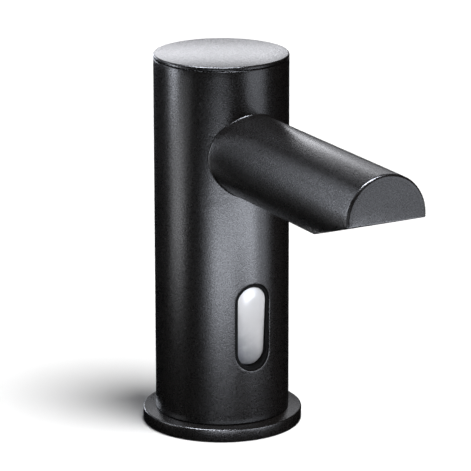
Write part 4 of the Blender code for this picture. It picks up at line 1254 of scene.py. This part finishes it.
def shank():
    """The threaded brass stem: a real helix of 1.5 mm pitch under a plain collar."""
    pitch, depth, top, low, around = 1.5, 0.62, -1.2, SHANK_END + 0.5, 96
    bm = turned(
        rounded([(SHANK_R, top, 0), (SHANK_R, 5.1, 0.1), (16.5, 5.1, 0.15), (16.5, 9.1, 0.35), (SHANK_BORE, 9.1, 0.2), (SHANK_BORE, SHANK_END, 0.3), (SHANK_R - 0.75, SHANK_END, 0.1), (SHANK_R - 0.4, low, 0)], 0.1),
        around, False,
    )
    steps = 6  # rows to a pitch: crest, flank and root
    shape = (0.0, 0.0, 0.5, 1.0, 1.0, 0.5)
    count = int((top - low) / pitch + 2) * steps
    rows = []
    for i in range(count + 1):
        row = []
        for j in range(around):
            z = low - pitch + (i / steps + j / around) * pitch
            r = SHANK_R - 0.02 - depth * shape[i % steps]
            inside = max(0.0, min(1.0, (top - z) / 1.0))
            r = SHANK_R - (SHANK_R - r) * inside
            if z >= top:
                z, r = top, SHANK_R
            if z <= low:
                z, r = low, SHANK_R - 0.4
            row.append(bm.verts.new((r * math.cos(math.tau * j / around), r * math.sin(math.tau * j / around), z)))
        rows.append(row)

    def quad(*vs):
        seen = []
        for v in vs:
            if all((v.co - o.co).length > 1e-5 for o in seen):
                seen.append(v)
        if len(seen) > 2:
            bm.faces.new(seen)

    for i in range(count):
        for j in range(around):
            if j < around - 1:
                quad(rows[i][j], rows[i][j + 1], rows[i + 1][j + 1], rows[i + 1][j])
            elif i + steps + 1 <= count:
                quad(rows[i][j], rows[i + steps][0], rows[i + steps + 1][0], rows[i + 1][j])
    return settle("mounting_shank_fine", bm, 34)


piece("mounting_shank", shank(), BRASS)
WASHER_Z = -25.4
piece("rubber_washer", ring("rubber_washer_fine", 13.9, 24.0, WASHER_Z - 3.0, WASHER_Z, None, 144, 0.6), RUBBER)
piece("steel_washer", ring("steel_washer_fine", 14.0, 22.5, WASHER_Z - 4.8, WASHER_Z - 3.3, None, 144, 0.2), STEEL)


def nut():
    z = WASHER_Z - 5.1
    body = lathe(
        "mounting_nut_fine",
        [(13.8, z, 0.3), (20.0, z, 0.5), (20.0, z - 3.0, 0.4), (17.4, z - 4.0, 0.5), (17.4, z - 12.0, 0.6), (13.8, z - 12.0, 0.3)],
        None, 144,
    )
    steps = []
    for i in range(4):
        turn = Matrix.Rotation(math.radians(45 + 90 * i), 4, "Z")
        steps.append((block("wing", 16.0, 23.5, -1.6, 1.6, z - 12.0, z - 1.5, turn, 0.55, 3), ADD))
        for k in (-1, 0, 1):
            rib = Matrix.Rotation(math.radians(90 * i + 14 * k), 4, "Z")
            steps.append((block("rib", 16.8, 17.9, -0.5, 0.5, z - 11.2, z - 3.6, rib, 0.2, 2), ADD))
    return carve(body, *steps)


piece("mounting_nut", nut(), BLACK)
BARB_X = 3.5
piece(
    "inlet_fitting",
    carve(
        lathe("inlet_fitting_fine", [(0, -50.0), (9.8, -50.0, 0.2), (10.2, -50.5, 0.2), (10.2, -57.7, 0.4), (0, -57.7)], None, 120),
        (rod("top_barb", 1.25, -51, -45.0, at(BARB_X), 40, 0.2), ADD),
        (lathe("low_barb", [(0, -56), (3.0, -56, 0), (3.0, -60, 0.3), (2.2, -60, 0.1), (2.8, -60.6, 0.1), (2.1, -62.5, 0.1), (2.7, -62.9, 0.1), (1.9, -66, 0.3), (0, -66)], at(BARB_X), 48), ADD),
        (rod("supply", 0.75, -70, -40, at(BARB_X), 32, 0), CUT),
        (rod("socket", 3.2, -60, -48, at(-5.5), 48, 0), CUT),
    ),
    WHITE,
)
piece(
    "power_socket",
    carve(
        lathe("power_socket_fine", [(0, -49.4), (2.9, -49.4, 0.2), (2.9, -57.9, 0.1), (4.0, -57.9, 0.2), (4.0, -59.4, 0.3), (0, -59.4)], at(-5.5), 64),
        (ring("socket", 0.6, 2.1, -70, -52, at(-5.5), 48, 0), CUT),
    ),
    BLACK,
)

# ------------------------------------------------------------------ studio
def build_floor():
    """A pale deck with the fixing hole in it. It is seen from above only, so the fixings show from below."""
    bm = bmesh.new()
    radii = [17.5, 31.0, 60.0, 150.0, 400.0, 1200.0, 6000.0]
    rows = [[bm.verts.new((r * math.cos(math.tau * i / 96), r * math.sin(math.tau * i / 96), -0.25)) for i in range(96)] for r in radii]
    for a, b in zip(rows, rows[1:]):
        for i in range(96):
            j = (i + 1) % 96
            bm.faces.new((a[i], b[i], b[j], a[j]))
    bmesh.ops.scale(bm, vec=(MM, MM, MM), verts=bm.verts)
    mesh = bpy.data.meshes.new("deck")
    bm.to_mesh(mesh)
    bm.free()
    obj = bpy.data.objects.new("deck", mesh)
    STUDIO.objects.link(obj)
    m = bpy.data.materials.new("deck_white")
    m.use_nodes = True
    tree = m.node_tree
    shader = tree.nodes["Principled BSDF"]
    shader.inputs["Base Color"].default_value = (0.9, 0.9, 0.9, 1)
    shader.inputs["Roughness"].default_value = 0.9
    shader.inputs["Specular IOR Level"].default_value = 0.0
    clear = tree.nodes.new("ShaderNodeBsdfTransparent")
    mix = tree.nodes.new("ShaderNodeMixShader")
    side = tree.nodes.new("ShaderNodeNewGeometry")
    out = tree.nodes["Material Output"]
    tree.links.new(side.outputs["Backfacing"], mix.inputs[0])
    tree.links.new(shader.outputs[0], mix.inputs[1])
    tree.links.new(clear.outputs[0], mix.inputs[2])
    tree.links.new(mix.outputs[0], out.inputs["Surface"])
    mesh.materials.append(m)
    obj.visible_glossy = False
    obj.visible_shadow = False
    return obj


build_floor()


def panel(name, centre, target, width, height, strength, tint=(1, 1, 1), spread=180.0, diffuse=True):
    """A soft rectangular light, in metres, that the camera doesn't see."""
    data = bpy.data.lights.new(name, "AREA")
    data.shape = "RECTANGLE"
    data.size, data.size_y = width, height
    data.energy = strength * width * height * math.pi  # strength is its radiance
    data.color = tint
    data.spread = math.radians(spread)
    obj = bpy.data.objects.new(name, data)
    STUDIO.objects.link(obj)
    c, t = Vector(centre), Vector(target)
    obj.location = c
    obj.rotation_mode = "QUATERNION"
    obj.rotation_quaternion = (t - c).to_track_quat("-Z", "Y")
    obj.visible_camera = False
    obj.visible_diffuse = diffuse
    return obj


FILL = 0.15
world = bpy.data.worlds.new("studio_white")
world.use_nodes = True
bpy.context.scene.world = world
world.node_tree.nodes["Background"].inputs["Color"].default_value = (1, 1, 1, 1)
# white behind everything, but only a weak fill on the deck
seen = world.node_tree.nodes.new("ShaderNodeLightPath")
level = world.node_tree.nodes.new("ShaderNodeMapRange")
level.inputs["To Min"].default_value, level.inputs["To Max"].default_value = FILL, 1.05
world.node_tree.links.new(seen.outputs["Is Camera Ray"], level.inputs["Value"])
world.node_tree.links.new(level.outputs["Result"], world.node_tree.nodes["Background"].inputs["Strength"])
world.cycles_visibility.glossy = False
world.cycles_visibility.scatter = False

AZ, DIST, HEIGHT, AIM_Z = math.radians(27.7), 1.15982, 0.40382, 0.0720
YAW, ROLL, FOCAL = math.radians(0.256), math.radians(0.092), 243.77


def polar(azimuth, distance, z):
    """A point round the object: azimuth 0 is straight in front of the spout, positive to the right of it."""
    a = math.radians(azimuth)
    return Vector((math.sin(a) * distance, -math.cos(a) * distance, z))


COOL, EVEN = (0.86, 0.90, 1.0), (0.94, 0.95, 1.0)
# Reflector cards that only the gloss sees: name, azimuth, distance, height above the deck, width, height, brightness, tint
CARDS = (
    ("spout_end", 30, 0.50, 0.060, 0.300, 0.17, 3.2, COOL),
    ("front_up", -30, 0.19, 0.110, 0.060, 0.04, 1.4, COOL),
    ("left_1", -86, 0.19, 0.090, 0.042, 0.04, 1.3, EVEN),
    ("left_2", -98, 0.19, 0.045, 0.042, 0.07, 3.8, EVEN),
    ("left_3", -110, 0.19, 0.050, 0.042, 0.08, 2.8, EVEN),
    ("left_4", -110, 0.19, 0.115, 0.042, 0.05, 12.5, COOL),
    ("rear_left_1", -122, 0.24, 0.180, 0.05, 0.05, 5.2, COOL),
    ("rear_left_2", -134, 0.24, 0.255, 0.05, 0.09, 4.4, COOL),
    ("rear_left_3", -146, 0.24, 0.300, 0.05, 0.06, 2.4, COOL),
    ("rear_left_far", -130, 0.45, 0.300, 0.16, 0.30, 1.3, COOL),
    ("rear_low", 182, 1.00, 0.150, 0.50, 0.20, 9.0, COOL),
    ("lid_near", 157, 0.24, 0.220, 0.13, 0.10, 2.5, EVEN),
    ("lid_far", 152, 0.60, 0.350, 0.50, 0.30, 1.2, EVEN),
)
# The front softbox: nine cards on an arc round the column, even across the middle and feathered at both ends.
# Its middle is raised, so that it clears the shadow of the spout.
FRONT, FRONT_RADIUS = 10.0, 0.19
for i in range(9):
    around = -50 + 12 * i
    feather = 1.0 if abs(around + 8) < 33 else 0.24
    raised = math.exp(-(((around - 4) / 12) ** 2))
    place = polar(around, FRONT_RADIUS, 0.024 + 0.024 * raised)
    panel("front_%d" % (i + 1), place, (0.0, 0.0, place.z), 0.042, 0.06, FRONT * feather, COOL, diffuse=False)
for name, azimuth, distance, height, w, h, bright, tint in CARDS:
    panel(name, polar(azimuth, distance, height), (0.0, 0.0, height), w, h, bright, tint, diffuse=False)
panel("over_front", polar(0, 0.233, 0.94), (0.0, 0.0, 0.07), 0.3, 0.3, 66.0, COOL, diffuse=False)
panel("over_left", polar(-120, 0.233, 0.94), (0.0, 0.0, 0.07), 0.3, 0.3, 84.0, COOL, diffuse=False)
sun = bpy.data.lights.new("key", "SUN")
sun.energy = 3.8
sun.angle = math.radians(29)
key = bpy.data.objects.new("key", sun)
STUDIO.objects.link(key)
key.visible_glossy = False
# the spout is flagged off the key, so that it throws no shadow across the front of the deck
lit = bpy.data.collections.new("key_blockers")
for obj in LOOKS.objects:
    if not obj.name.startswith(("spout_", "nozzle_", "valve_", "hose_elbow", "outlet_hose")):
        lit.objects.link(obj)
key.light_linking.blocker_collection = lit
key.rotation_mode = "QUATERNION"
key.rotation_quaternion = (-polar(28, 1.0, math.tan(math.radians(69)))).to_track_quat("-Z", "Y")

camera_data = bpy.data.cameras.new("camera")
camera_data.lens = FOCAL
camera_data.sensor_width = 36.0
camera_data.clip_start, camera_data.clip_end = 0.05, 20.0
camera = bpy.data.objects.new("camera", camera_data)
STUDIO.objects.link(camera)
eye = Vector((-math.sin(AZ) * DIST, -math.cos(AZ) * DIST, HEIGHT))
forward = (Vector((0, 0, AIM_Z)) - eye).normalized()
forward = Matrix.Rotation(-YAW, 3, "Z") @ forward
camera.location = eye
camera.rotation_mode = "QUATERNION"
camera.rotation_quaternion = Matrix.Rotation(ROLL, 3, forward).to_quaternion() @ forward.to_track_quat("-Z", "Y")
bpy.context.scene.camera = camera
bpy.context.scene.view_settings.view_transform = "Standard"
